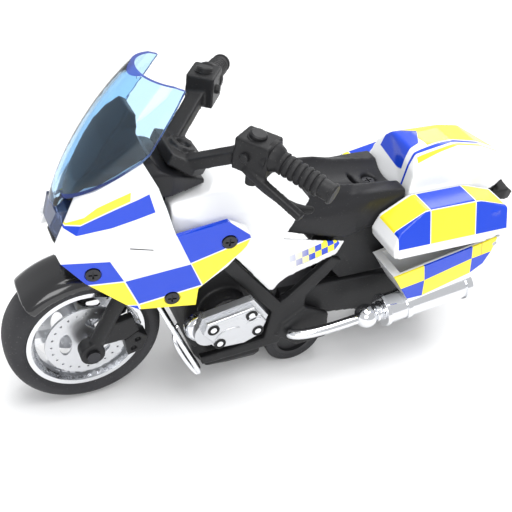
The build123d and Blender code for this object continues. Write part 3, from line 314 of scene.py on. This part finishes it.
wing_marks = [
    seen_from_side(BLUE, (69.0, 57.6), (55.2, 57.1), (51.6, 50.1), (61.2, 49.8)),
    seen_from_side(YELLOW, (61.2, 49.4), (51.6, 49.7), (47.9, 41.2), (52.2, 41.6)),
    seen_from_side(BLUE, (52.0, 41.3), (48.0, 41.0), (47.4, 39.3), (49.0, 39.5)),
    seen_from_side(BLUE, (51.3, 49.9), (34.0, 54.0), (30.7, 46.4), (47.6, 41.5)),
    seen_from_side(YELLOW, (47.4, 41.1), (30.5, 46.0), (31.4, 39.0), (47.0, 39.2)),
    seen_from_side(BLUE, (38.1, 63.9), (24.9, 67.6), (17.6, 61.8), (34.1, 54.4)),
    seen_from_side(YELLOW, (33.8, 54.1), (17.9, 61.3), (18.9, 58.6), (30.3, 46.4)),
    seen_from_side(BLUE, (66.4, 66.1), (44.9, 76.5), (43.4, 71.1), (54.4, 67.2), (63.0, 65.5)),
    seen_from_side(YELLOW, (66.4, 66.3), (57.7, 73.1), (49.4, 77.2), (49.6, 74.7)),
    seen_from_side(INK_BLACK, (50.1, 61.1), (44.0, 60.0), (44.1, 59.7), (50.1, 60.7)),
]
tail_marks = [
    seen_from_above(YELLOW, (-43.3, -8.2), (-53.9, -9.8), (-67.4, -9.3), (-77.8, -0.8),
                    (-45.9, 4.3)),
    seen_from_above(BLUE, (-38.4, -8.6), (-41.7, -8.6), (-47.0, -3.5), (-43.9, 2.5), (-38.4, -2.0)),
    seen_from_above(BLUE, (-38.4, -2.2), (-43.9, 2.5), (-38.4, 4.2)),
    seen_from_above(BLUE, (-37.6, 7.5), (-52.0, 5.0), (-76.4, 1.2), (-76.4, 0.4), (-52.0, 3.7),
                    (-37.6, 6.4)),
    seen_from_above(YELLOW, (-40.4, 8.9), (-77.9, 2.2), (-77.9, 1.5), (-40.4, 7.7)),
]
side_zone = ((2.2, 43.4), (3.0, 48.4), (-11.6, 51.4), (-14.2, 48.7), (-12.8, 46.6))
side_board = ((2.2, 0, 43.6), (-0.98, 0, 0.2), (0.2, 0, 0.98), (2.15, 2.45))
side_marks = [
    seen_from_side(YELLOW, *side_zone, fade=(2.5, -7.0)),
    seen_from_side(BLUE, *side_zone, board=side_board, fade=(4.5, -5.0)),
]

HINGE = (-64.0, 45.5)     # lengthwise place and height of both lids' pins
PANNIER_TILT = 11.8       # from level down to closed, in degrees
LID_INSIDE = 13.5         # distances of the printed areas from the middle of the toy
LID_TOP_EDGE = 21.7
LID_SIDE_EDGE = 21.95
LID_OUTSIDE = 30.0
LID_FRONT, LID_BACK = -20.0, -70.0
PRINT_FOOT, PRINT_TOP = 51.2, 66.0
lid_columns = [(-27.3, -38.3), (-38.6, -54.6), (-54.9, -66.6)]


def lid_place(x, z, tilt):
    """A point of the level lid after the lid has turned down towards the front by the tilt."""
    turn = math.radians(tilt)
    ahead, above = x - HINGE[0], z - HINGE[1]
    return (HINGE[0] + ahead * math.cos(turn) + above * math.sin(turn),
            HINGE[1] - ahead * math.sin(turn) + above * math.cos(turn))


def lid_band(inner, outer):
    """The whole length of the lid between two distances from the middle."""
    return ([(LID_FRONT, inner), (LID_FRONT, outer), (LID_BACK, outer), (LID_BACK, inner)], (X, Y))


def lid_marks(tilt):
    """Chequers of the top and the sloping outer side of a pannier lid."""
    marks = []
    for index, (front, back) in enumerate(lid_columns):
        top_colour, side_colour = (YELLOW, BLUE) if index != 1 else (BLUE, YELLOW)
        corners = [(front, PRINT_FOOT), (front, PRINT_TOP), (back, PRINT_TOP), (back, PRINT_FOOT)]
        column = ([lid_place(x, z, tilt) for x, z in corners], (X, Z))
        marks.append((top_colour, [column, lid_band(LID_INSIDE, LID_TOP_EDGE)], {}))
        marks.append((side_colour, [column, lid_band(LID_SIDE_EDGE, LID_OUTSIDE)], {}))
    return marks


BOX_SKIN = 25.0           # the boxes are printed from this distance outwards


def on_box(colour, *points):
    return seen_from_side(colour, *points, beyond=BOX_SKIN)


box_marks = [
    on_box(YELLOW, (-26.6, 41.4), (-38.3, 43.9), (-40.2, 36.6), (-31.3, 35.0)),
    on_box(BLUE, (-31.3, 35.0), (-40.2, 36.6), (-40.9, 30.3), (-34.4, 30.3)),
    on_box(BLUE, (-38.3, 43.9), (-55.1, 48.2), (-56.6, 41.3), (-40.2, 36.6)),
    on_box(YELLOW, (-40.2, 36.6), (-56.6, 41.3), (-57.7, 35.3), (-40.9, 30.3)),
    on_box(YELLOW, (-55.1, 48.2), (-64.6, 49.8), (-63.6, 42.4), (-56.6, 41.3)),
    on_box(BLUE, (-56.6, 41.3), (-63.6, 42.6), (-61.8, 38.2), (-57.7, 35.3)),
    on_box(REFLECTOR_ORANGE, (-58.1, 49.3), (-58.35, 49.3), (-60.2, 41.9), (-59.95, 41.9)),
]

# ---- finishes -----------------------------------------------------------------------------------
SHELL_COAT = {"Coat_Weight": 0.18, "Coat_Roughness": 0.08}


def printed(name, marks):
    """Glossy white shell with printed blocks."""
    return surface(name, SHELL_WHITE, (0.16, 0.26), marks=marks, **SHELL_COAT)


white_shell = surface("white shell", SHELL_WHITE, (0.16, 0.27), **SHELL_COAT)
fairing_print = printed("printed fairing", wing_marks)
tail_print = printed("printed tail", tail_marks)
side_print = printed("printed side cover", side_marks)
lid_print_level = printed("printed level lid", lid_marks(0))
lid_print_closed = printed("printed closed lid", lid_marks(PANNIER_TILT))
box_print = printed("printed pannier box", box_marks)
satin_black = surface(
    "satin black plastic", MOULDED_BLACK, (0.36, 0.52), bump=0.12, dust=0.12,
    Specular_IOR_Level=0.28)
pod_black = surface(
    "smooth black", (0.012, 0.012, 0.014), (0.3, 0.4), bump=0.02, Specular_IOR_Level=0.3)
gloss_black = surface("gloss black plastic", (0.008, 0.008, 0.009), (0.10, 0.2), Coat_Weight=0.5)
seat_black = surface(
    "seat black", (0.014, 0.014, 0.016), (0.4, 0.52), grain=(900.0, 0.8), bump=0.22, dust=0.1,
    Specular_IOR_Level=0.28)
grip_black = surface(
    "grip black", (0.016, 0.016, 0.017), (0.42, 0.62), grain=(2400.0, 0.8), bump=0.2, dust=0.15,
    Specular_IOR_Level=0.28)
tyre_rubber = surface(
    "tyre rubber", TYRE_BLACK, (0.5, 0.72), grain=(1300.0, 0.9), bump=0.2, tone=0.15, dust=0.35,
    Specular_IOR_Level=0.32)
chrome = surface("bright plating", PLATED, (0.07, 0.2), bump=0.03, tone=0.03, Metallic=1.0)
disc_silver = surface(
    "brake disc silver", (0.66, 0.67, 0.69), (0.24, 0.4), grain=(3000.0, 0.6), bump=0.1,
    Metallic=1.0)
cast_silver = surface(
    "cast silver", CAST_SILVER, (0.22, 0.4), grain=(1500.0, 0.9), bump=0.18, tone=0.1,
    Metallic=0.9)
dark_steel = surface(
    "dark screw steel", (0.045, 0.045, 0.05), (0.28, 0.45), bump=0.1, Metallic=0.8)
steel = surface("bright steel", (0.5, 0.5, 0.52), (0.2, 0.36), bump=0.08, Metallic=1.0)
motor_plastic = surface("motor case plastic", (0.11, 0.11, 0.12), (0.4, 0.55), bump=0.12)
gear_nylon = surface(
    "gear nylon", (0.72, 0.70, 0.64), (0.35, 0.5), bump=0.1, Subsurface_Weight=0.1)
hub_black = surface("hub black", (0.02, 0.02, 0.022), (0.4, 0.55), bump=0.1)
screen_blue = surface(
    "clear blue screen", (0.52, 0.76, 0.97), (0.015, 0.05), bump=0.01, tone=0.01,
    Transmission_Weight=1.0, IOR=1.46)
screen_edge = surface(
    "screen cut edge", (0.05, 0.09, 0.42), (0.08, 0.14), bump=0.02,
    Transmission_Weight=0.35, IOR=1.46)
lens_blue = surface(
    "smoked blue lens", (0.20, 0.27, 0.48), (0.03, 0.08), bump=0.02,
    Transmission_Weight=0.85, IOR=1.46)

slot_finish = {
    "white_plastic": white_shell, "black_plastic": satin_black, "gloss_black": gloss_black,
    "seat_black": seat_black, "grip_black": grip_black, "tyre_rubber": tyre_rubber,
    "chrome": chrome, "disc_silver": disc_silver, "screen_blue": screen_blue,
    "lens_blue": lens_blue, "dark_steel": dark_steel, "steel": steel,
    "motor_plastic": motor_plastic, "gear_nylon": gear_nylon, "hub_black": hub_black,
}
slot_of_node = {entry["node"]: entry["material_slot"] for entry in frame["record"]["subparts"]}


# ---- geometry helpers ---------------------------------------------------------------------------
def piece_from(bm, name, material, body, smooth_angle=40.0):
    """Turns a bmesh into a finished piece on a body, in the shared frame."""
    mesh = bpy.data.meshes.new(name)
    bm.to_mesh(mesh)
    bm.free()
    piece = bpy.data.objects.new(name, mesh)
    bpy.context.scene.collection.objects.link(piece)
    mesh.materials.append(material)
    mesh.shade_smooth()
    mesh.set_sharp_from_angle(angle=math.radians(smooth_angle))
    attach(piece, body)
    return piece


WELD = 0.002 * MM         # points this close are one
FLAT_ANGLE = 1.0          # faces this close to level with each other are one, in degrees


def rounded(piece, width, angle):
    """Breaks every edge sharper than the angle with a radius of the width, in millimetres."""
    rounding = piece.modifiers.new("rounding", "BEVEL")
    rounding.width = width * MM
    rounding.segments = 3
    rounding.limit_method = "ANGLE"
    rounding.angle_limit = math.radians(angle)


def softened(node, material=None, width=0.35):
    """The CAD moulding with its sharp edges rounded, as a piece that stands for the node."""
    bm = bmesh.new()
    bm.from_mesh(frame["nodes"][node].data)
    bmesh.ops.remove_doubles(bm, verts=bm.verts, dist=WELD)
    bmesh.ops.dissolve_limit(
        bm, angle_limit=math.radians(FLAT_ANGLE), verts=bm.verts, edges=bm.edges)
    slot = slot_of_node[node]
    finish = material or slot_finish[slot]
    piece = piece_from(bm, node + "_finished", finish, body_of_node[node])
    if width:
        rounded(piece, width, 32.0)
    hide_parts(node)
    return piece


def moulded(node, material=None, voxel=0.45, passes=6):
    """The CAD moulding re-skinned and eased all over, as soft injection-moulded corners are."""
    piece = softened(node, material, width=0)
    skin = piece.modifiers.new("skin", "REMESH")
    skin.mode = "VOXEL"
    skin.voxel_size = voxel * MM
    skin.use_smooth_shade = True
    ease = piece.modifiers.new("ease", "SMOOTH")
    ease.factor = 0.5
    ease.iterations = passes
    return piece


def ring(bm, centre, side, rise, outline):
    """A closed loop of edges whose outline lies on two directions about a centre, in
    millimetres."""
    verts = [bm.verts.new((centre + side * a + rise * b) * MM) for a, b in outline]
    return [bm.edges.new((first, second)) for first, second in zip(verts, verts[1:] + verts[:1])]


def round_outline(radius, count=20):
    turns = [2 * math.pi * i / count for i in range(count)]
    return [(radius * math.cos(turn), radius * math.sin(turn)) for turn in turns]


def block_outline(width, height, corner):
    """A rectangle with one-cut corners."""
    w, h = width / 2, height / 2
    return [(w, h - corner), (w - corner, h), (corner - w, h), (-w, h - corner),
            (-w, corner - h), (corner - w, -h), (w - corner, -h), (w, corner - h)]


def loft(name, stations, material, body, smooth=2, smooth_angle=40.0):
    """A closed skin over loops; a station is (centre, side direction, rise direction, outline)."""
    bm = bmesh.new()
    loops = [ring(bm, Vector(centre), Vector(side).normalized(), Vector(rise).normalized(), outline)
             for centre, side, rise, outline in stations]
    for before, after in zip(loops, loops[1:]):
        bmesh.ops.bridge_loops(bm, edges=before + after)
    for end in (loops[0], loops[-1]):
        bmesh.ops.contextual_create(bm, geom=end)
    bmesh.ops.recalc_face_normals(bm, faces=bm.faces)
    piece = piece_from(bm, name, material, body, smooth_angle)
    if smooth:
        round_off = piece.modifiers.new("round off", "SUBSURF")
        round_off.levels = round_off.render_levels = smooth
    return piece


def turned(name, start, end, profile, material, body, count=28, smooth_angle=35.0):
    """A part turned about the line from start to end; the profile is (distance, radius) in
    millimetres."""
    start, end = Vector(start), Vector(end)
    axis = (end - start).normalized()
    side = axis.orthogonal().normalized()
    rise = axis.cross(side)
    stations = [(start + axis * along, side, rise, round_outline(radius, count))
                for along, radius in profile]
    return loft(name, stations, material, body, smooth=0, smooth_angle=smooth_angle)


def swept(name, path, outline, material, body, flat_side=(0, 1, 0), smooth=2):
    """A bar of one section along a path, held square to one direction."""
    points = [Vector(p) for p in path]
    stations = []
    for index, point in enumerate(points):
        before = points[max(index - 1, 0)]
        after = points[min(index + 1, len(points) - 1)]
        ahead = (after - before).normalized()
        rise = ahead.cross(Vector(flat_side)).normalized()
        side = rise.cross(ahead).normalized()
        stations.append((point, side, rise, outline))
    return loft(name, stations, material, body, smooth=smooth)


def mirrored(point, sign):
    return Vector((point[0], point[1] * sign, point[2]))


finished_print = {
    "fairing_left": fairing_print, "fairing_right": fairing_print, "tail_case": tail_print,
    "tank_cover": side_print, "pannier_lid_left": lid_print_level,
    "pannier_lid_right": lid_print_closed, "pannier_box_left": box_print,
    "pannier_box_right": box_print, "instrument_pod": pod_black,
    "head_cover_left": cast_silver, "head_cover_right": cast_silver,
}

# Mouldings with soft corners: voxel size in millimetres and number of easing passes.
soft_mouldings = {
    "seat": (0.45, 7), "tail_case": (0.45, 8), "tank_cover": (0.5, 8), "instrument_pod": (0.4, 5),
    "handlebar": (0.38, 5), "front_mudguard": (0.4, 4), "plate_bracket": (0.4, 5),
    "nose_beak": (0.35, 5), "rear_subframe": (0.55, 5), "chassis_side_left": (0.4, 4),
    "chassis_side_right": (0.4, 4), "belly_pan": (0.45, 5), "swingarm": (0.45, 4),
    "fork_leg_left": (0.32, 4), "fork_leg_right": (0.32, 4), "brake_caliper_left": (0.3, 4),
    "brake_caliper_right": (0.3, 4), "engine_block": (0.45, 3), "pannier_lid_left": (0.42, 4),
    "pannier_lid_right": (0.42, 4), "fork_yoke": (0.4, 3),
}
for node, (voxel, passes) in soft_mouldings.items():
    moulded(node, finished_print.get(node), voxel, passes)

# The front of the tail leans back, and the rear shoulders of the seat are held down.
TAIL_FRONT, TAIL_FOOT, TAIL_LEAN = -38.5, 62.0, 0.42
for vertex in bpy.data.objects["tail_case_finished"].data.vertices:
    rise = vertex.co.z / MM - TAIL_FOOT
    if vertex.co.x / MM > TAIL_FRONT and rise > 0:
        vertex.co.x -= TAIL_LEAN * rise * MM
SHOULDER_START, SHOULDER_SIDE, SHOULDER_TOP = -12.0, 8.0, 62.5
for vertex in bpy.data.objects["seat_finished"].data.vertices:
    if vertex.co.x / MM < SHOULDER_START and abs(vertex.co.y) / MM > SHOULDER_SIDE:
        vertex.co.z = min(vertex.co.z, SHOULDER_TOP * MM)

# Mouldings that keep crisp edges, with the radius of their broken edges in millimetres.
crisp_mouldings = {
    "fairing_left": 0.45, "fairing_right": 0.45, "pannier_box_left": 0.4, "pannier_box_right": 0.4,
    "windscreen": 0.2, "headlight_lens": 0.3, "headlight_reflector": 0.2, "head_cover_left": 0.35,
    "head_cover_right": 0.35, "front_tyre": 0.3, "front_rim": 0.2, "rear_tyre": 0.3,
    "rear_rim": 0.2, "silencer": 0.2,
}
for node, width in crisp_mouldings.items():
    softened(node, finished_print.get(node), width)


# Height, nose place, rear place and half width of the screen.
SCREEN = [(66, 68.0, 53.5, 12.0), (78, 64.4, 46.0, 13.0), (92, 56.5, 41.0, 12.4),
          (106, 43.6, 33.2, 10.1)]
CUT_EDGE_LEAN = 0.55      # a face that looks out less than this belongs to the cut edge


def on_section(z):
    """Nose place, rear place and half width of the screen at a height, in millimetres."""
    for low, high in zip(SCREEN, SCREEN[1:]):
        if z <= high[0] or high is SCREEN[-1]:
            share = (z - low[0]) / (high[0] - low[0])
            return [a + (b - a) * share for a, b in zip(low[1:], high[1:])]


screen = bpy.data.objects["windscreen_finished"]
screen.data.materials.append(screen_edge)
for face in screen.data.polygons:
    centre = face.center / MM
    nose, rear, half = on_section(centre.z)
    outward = Vector(((centre.x - rear) / (nose - rear) ** 2, centre.y / half ** 2, 0.0))
    if abs(outward.normalized().dot(face.normal)) < CUT_EDGE_LEAN:
        face.material_index = 1

# ---- handlebar controls -------------------------------------------------------------------------
HANDLE_END = (14.6, 24.0, 87.4)
GRIP_TIP = (5.2, 37.4, 84.0)
CLUSTER = (19.4, 17.6, 87.6)
RIBS, FIRST_RIB, RIB_PITCH = 6, 1.5, 1.75
LEVER = [(20.6, 19.5, 81.6), (17.4, 24.0, 79.4), (14.2, 28.2, 77.6), (11.0, 31.8, 77.4),
         (8.8, 34.0, 78.6)]
LEVER_PIN = (20.2, 20.0, 79.6), (20.2, 20.0, 83.4)
for side_name, sign in (("left", 1), ("right", -1)):
    inner, tip = mirrored(HANDLE_END, sign), mirrored(GRIP_TIP, sign)
    axis = (tip - inner).normalized()
    profile = [(0.0, 2.2), (0.1, 2.9), (1.1, 3.05), (1.3, 2.5)]
    for rib in range(RIBS):
        start = FIRST_RIB + rib * RIB_PITCH
        profile += [(start, 2.45), (start + 0.25, 2.85), (start + 0.85, 3.0),
                    (start + 1.35, 2.85), (start + 1.6, 2.45)]
    profile += [(12.2, 2.5), (14.6, 2.45), (14.7, 2.8), (15.3, 2.85), (15.7, 2.5), (15.8, 1.6)]
    grip = turned("grip_%s_ribbed" % side_name, inner, tip, profile,
                  grip_black, "steering")
    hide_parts("grip_" + side_name)
    turned("switch_collar_" + side_name, inner - axis * 4.2, inner + axis * 0.2,
           [(0.0, 3.6), (0.4, 4.3), (1.6, 4.5), (1.8, 4.0), (3.4, 3.5), (3.8, 3.2), (4.4, 2.8)],
           satin_black, "steering")
    block = mirrored(CLUSTER, sign)
    across_axis = Vector((0, 0, 1)).cross(axis).normalized()
    top = across_axis.cross(axis).normalized()
    top = top if top.z > 0 else -top
    turned("fluid_pot_" + side_name, block + top * 3.6, block + top * 6.0,
           [(0.0, 2.6), (0.9, 2.7), (1.0, 2.35), (1.9, 2.3), (2.2, 1.9)],
           satin_black, "steering")
    turned("dip_switch_" + side_name, block - across_axis * 4.0, block - across_axis * 5.2,
           [(0.0, 1.3), (0.8, 1.25), (1.1, 0.9)], satin_black, "steering")
    swept("lever_" + side_name, [mirrored(p, sign) for p in LEVER], block_outline(1.7, 2.6, 0.4),
          satin_black, "steering", flat_side=(0, 0, 1), smooth=1)
    pin_foot, pin_top = (mirrored(p, sign) for p in LEVER_PIN)
    turned("lever_pivot_" + side_name, pin_foot, pin_top,
           [(0.0, 1.3), (0.2, 1.7), (3.4, 1.7), (3.7, 1.3)],
           satin_black, "steering")

# ---- crash bars, exhaust and engine trim --------------------------------------------------------
HOOP = [(43.2, 12.4, 42.3), (40.0, 14.6, 35.2), (35.6, 17.0, 25.6), (31.6, 18.8, 17.4),
        (29.9, 19.3, 13.9), (30.6, 18.6, 13.4), (32.6, 17.4, 15.8), (36.2, 15.3, 22.6),
        (36.8, 13.2, 25.2), (34.4, 10.8, 27.4)]
for side_name, sign in (("left", 1), ("right", -1)):
    bar = swept("crash_hoop_" + side_name, [mirrored(p, sign) for p in HOOP],
                block_outline(3.3, 1.5, 0.35), chrome, "bike",
                flat_side=(0.35, sign, 0.2), smooth=2)
    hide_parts("crash_bar_" + side_name)

HEADER = [(-0.6, 15.2, 16.9), (-1.8, 17.0, 17.1), (-5.0, 18.6, 17.9), (-10.0, 19.7, 19.0),
          (-16.0, 20.3, 20.1), (-22.0, 20.4, 21.0), (-25.0, 20.4, 21.4)]
pipe = swept("exhaust_header", HEADER, round_outline(1.7, 16), chrome, "bike", smooth=1)
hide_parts("exhaust_pipe")
BALL = Vector((-25.4, 20.4, 21.4))
BALL_RADIUS, BALL_STEPS, BALL_POLE = 3.85, 12, 0.3
CAN_START = Vector((-30.6, 20.4, 22.2))
CAN_END = Vector((-62.0, 20.4, 26.4))
can_axis = (CAN_END - CAN_START).normalized()
ball_profile = []
for step in range(BALL_STEPS + 1):
    along = math.pi * step / BALL_STEPS
    ball_profile.append((-BALL_RADIUS + BALL_RADIUS * (1 - math.cos(along)),
                         max(BALL_POLE, BALL_RADIUS * math.sin(along))))
turned("exhaust_ball", BALL, BALL + can_axis, ball_profile, chrome, "bike", count=32,
       smooth_angle=60.0)
turned("exhaust_neck", BALL + can_axis * 3.0, CAN_START,
       [(0.0, 2.7), (0.3, 3.0), (0.8, 3.0), (1.0, 2.6), (1.7, 2.6), (2.0, 3.3), (2.24, 3.3)],
       chrome, "bike", count=32)

COVER_FACE = 22.25        # outer face of the head covers, from the middle
WELL_FOOT, WELL_TOP = 21.7, 22.7
CAM_FOOT, CAM_TOP = 14.6, 18.6
COVER_ARC = [(27.2, 27.8), (26.4, 30.0), (24.6, 31.6), (22.0, 32.0), (19.6, 31.4)]
COVER_RIDGE = [(18.0, 32.2), (15.6, 32.9), (13.2, 33.6)]
COVER_BOLTS = [(28.0, 32.6), (16.4, 35.0), (13.8, 28.4), (25.6, 26.6)]
for side_name, sign in (("left", 1), ("right", -1)):
    swept("cover_curve_" + side_name, [(x, sign * COVER_FACE, z) for x, z in COVER_ARC],
          round_outline(0.28, 8), cast_silver, "bike", smooth=1)
    for row, lift in enumerate((0.0, 1.3)):
        swept("cover_ridge_%s_%d" % (side_name, row),
              [(x, sign * COVER_FACE, z + lift) for x, z in COVER_RIDGE],
              round_outline(0.3, 8), cast_silver, "bike", smooth=1)
    for index, (x, z) in enumerate(COVER_BOLTS):
        turned("bolt_well_%s_%d" % (side_name, index),
               (x, sign * WELL_FOOT, z), (x, sign * WELL_TOP, z),
               [(0.0, 1.8), (0.72, 1.8), (0.78, 1.35), (0.3, 1.25)],
               satin_black, "bike")
    turned("cam_end_" + side_name, (29.4, sign * CAM_FOOT, 29.0), (29.4, sign * CAM_TOP, 29.0),
           [(0.0, 4.7), (1.6, 4.9), (2.8, 4.5), (3.6, 3.4), (3.9, 1.6)], chrome, "bike",
           count=36, smooth_angle=60.0)

# ---- pannier lid flanges ------------------------------------------------------------------------
# The rim seen from above, with the lid level. It stops short of the hinge, so that it clears the
# box when the lid is open.
RIM_PLAN = [(-27.4, 12.5), (-26.5, 13.6), (-26.5, 24.6), (-27.8, 26.25), (-59.2, 26.25),
            (-60.6, 24.6), (-60.6, 12.5)]
RIM_MIDDLE = (-47, 19)
RIM_LEVELS = ((0.9, 48.1), (0.0, 48.1), (0.0, 50.4), (0.35, 50.9), (1.1, 50.95))  # inset, height


def lid_flange(name, tilt, sign, body):
    """The plain raised rim round the foot of a pannier lid."""
    bm = bmesh.new()
    loops = []
    for inset, z in RIM_LEVELS:
        corners = []
        for x, y in RIM_PLAN:
            pull_x = inset if x < RIM_MIDDLE[0] else -inset
            pull_y = inset if y < RIM_MIDDLE[1] else -inset
            ahead, above = lid_place(x + pull_x, z, tilt)
            corners.append(bm.verts.new(Vector((ahead, sign * (y + pull_y), above)) * MM))
        loops.append([bm.edges.new(pair) for pair in zip(corners, corners[1:] + corners[:1])])
    for before, after in zip(loops, loops[1:] + loops[:1]):
        bmesh.ops.bridge_loops(bm, edges=before + after)
    bmesh.ops.recalc_face_normals(bm, faces=bm.faces)
    flange = piece_from(bm, name, white_shell, body)
    rounded(flange, 0.3, 25.0)


lid_flange("lid_flange_left", 0.0, 1, "lid_left")
lid_flange("lid_flange_right", PANNIER_TILT, -1, "lid_right")

for name, node in frame["nodes"].items():
    if not node.hide_render:
        node.data.materials.clear()
        node.data.materials.append(slot_finish[slot_of_node[name]])

# ---- floor, light and camera --------------------------------------------------------------------
FLOOR_SIZE = 3.0
FLOOR_GREY = (0.9, 0.9, 0.9, 1)
SKY_COLOUR, SKY_STRENGTH = (0.97, 0.98, 1.0, 1), 0.72
floor_mesh = bmesh.new()
bmesh.ops.create_grid(floor_mesh, x_segments=2, y_segments=2, size=FLOOR_SIZE)
floor_data = bpy.data.meshes.new("studio_floor")
floor_mesh.to_mesh(floor_data)
floor_mesh.free()
floor = bpy.data.objects.new("studio_floor", floor_data)
bpy.context.scene.collection.objects.link(floor)
floor_finish = bpy.data.materials.new("pale floor")
floor_finish.use_nodes = True
floor_shader = floor_finish.node_tree.nodes["Principled BSDF"]
floor_shader.inputs["Base Color"].default_value = FLOOR_GREY
floor_shader.inputs["Roughness"].default_value = 0.6
floor_data.materials.append(floor_finish)

world = bpy.data.worlds.new("soft studio")
world.use_nodes = True
world.node_tree.nodes["Background"].inputs["Color"].default_value = SKY_COLOUR
world.node_tree.nodes["Background"].inputs["Strength"].default_value = SKY_STRENGTH
bpy.context.scene.world = world


def soft_light(name, place, target, size, power):
    """A square light of a size in metres and a power in watts, turned to face the target."""
    lamp = bpy.data.lights.new(name, "AREA")
    lamp.shape = "SQUARE"
    lamp.size = size
    lamp.energy = power
    holder = bpy.data.objects.new(name, lamp)
    bpy.context.scene.collection.objects.link(holder)
    holder.location = place
    holder.rotation_mode = "QUATERNION"
    holder.rotation_quaternion = (Vector(target) - Vector(place)).to_track_quat("-Z", "Y")


MIDDLE = (0.0, 0.0, 0.04)
soft_light("overhead_softbox", (-0.05, 0.1, 0.75), MIDDLE, 0.6, 4.6)
soft_light("near_side_softbox", (0.35, 0.65, 0.45), MIDDLE, 0.4, 2.4)
soft_light("far_side_softbox", (-0.5, -0.45, 0.5), MIDDLE, 0.4, 1.6)

EYE = Vector((102.554, 179.271, 197.002)) * MM
AIM = Vector((6.116, 1.326, 38.430)) * MM
ROLL = math.radians(7.091)
LENS, SENSOR, NEAREST = 59.21, 36.0, 0.005
forward = (AIM - EYE).normalized()
level = forward.cross(Vector((0, 0, 1))).normalized()
upright = level.cross(forward)
camera_right = math.cos(ROLL) * level + math.sin(ROLL) * upright
camera_up = -math.sin(ROLL) * level + math.cos(ROLL) * upright
camera_data = bpy.data.cameras.new("camera")
camera_data.lens = LENS
camera_data.sensor_width = SENSOR
camera_data.clip_start = NEAREST
camera = bpy.data.objects.new("camera", camera_data)
bpy.context.scene.collection.objects.link(camera)
turn = Matrix((camera_right, camera_up, -forward)).transposed()
camera.matrix_world = Matrix.Translation(EYE) @ turn.to_4x4()
bpy.context.scene.camera = camera
bpy.context.scene.view_settings.view_transform = "Standard"
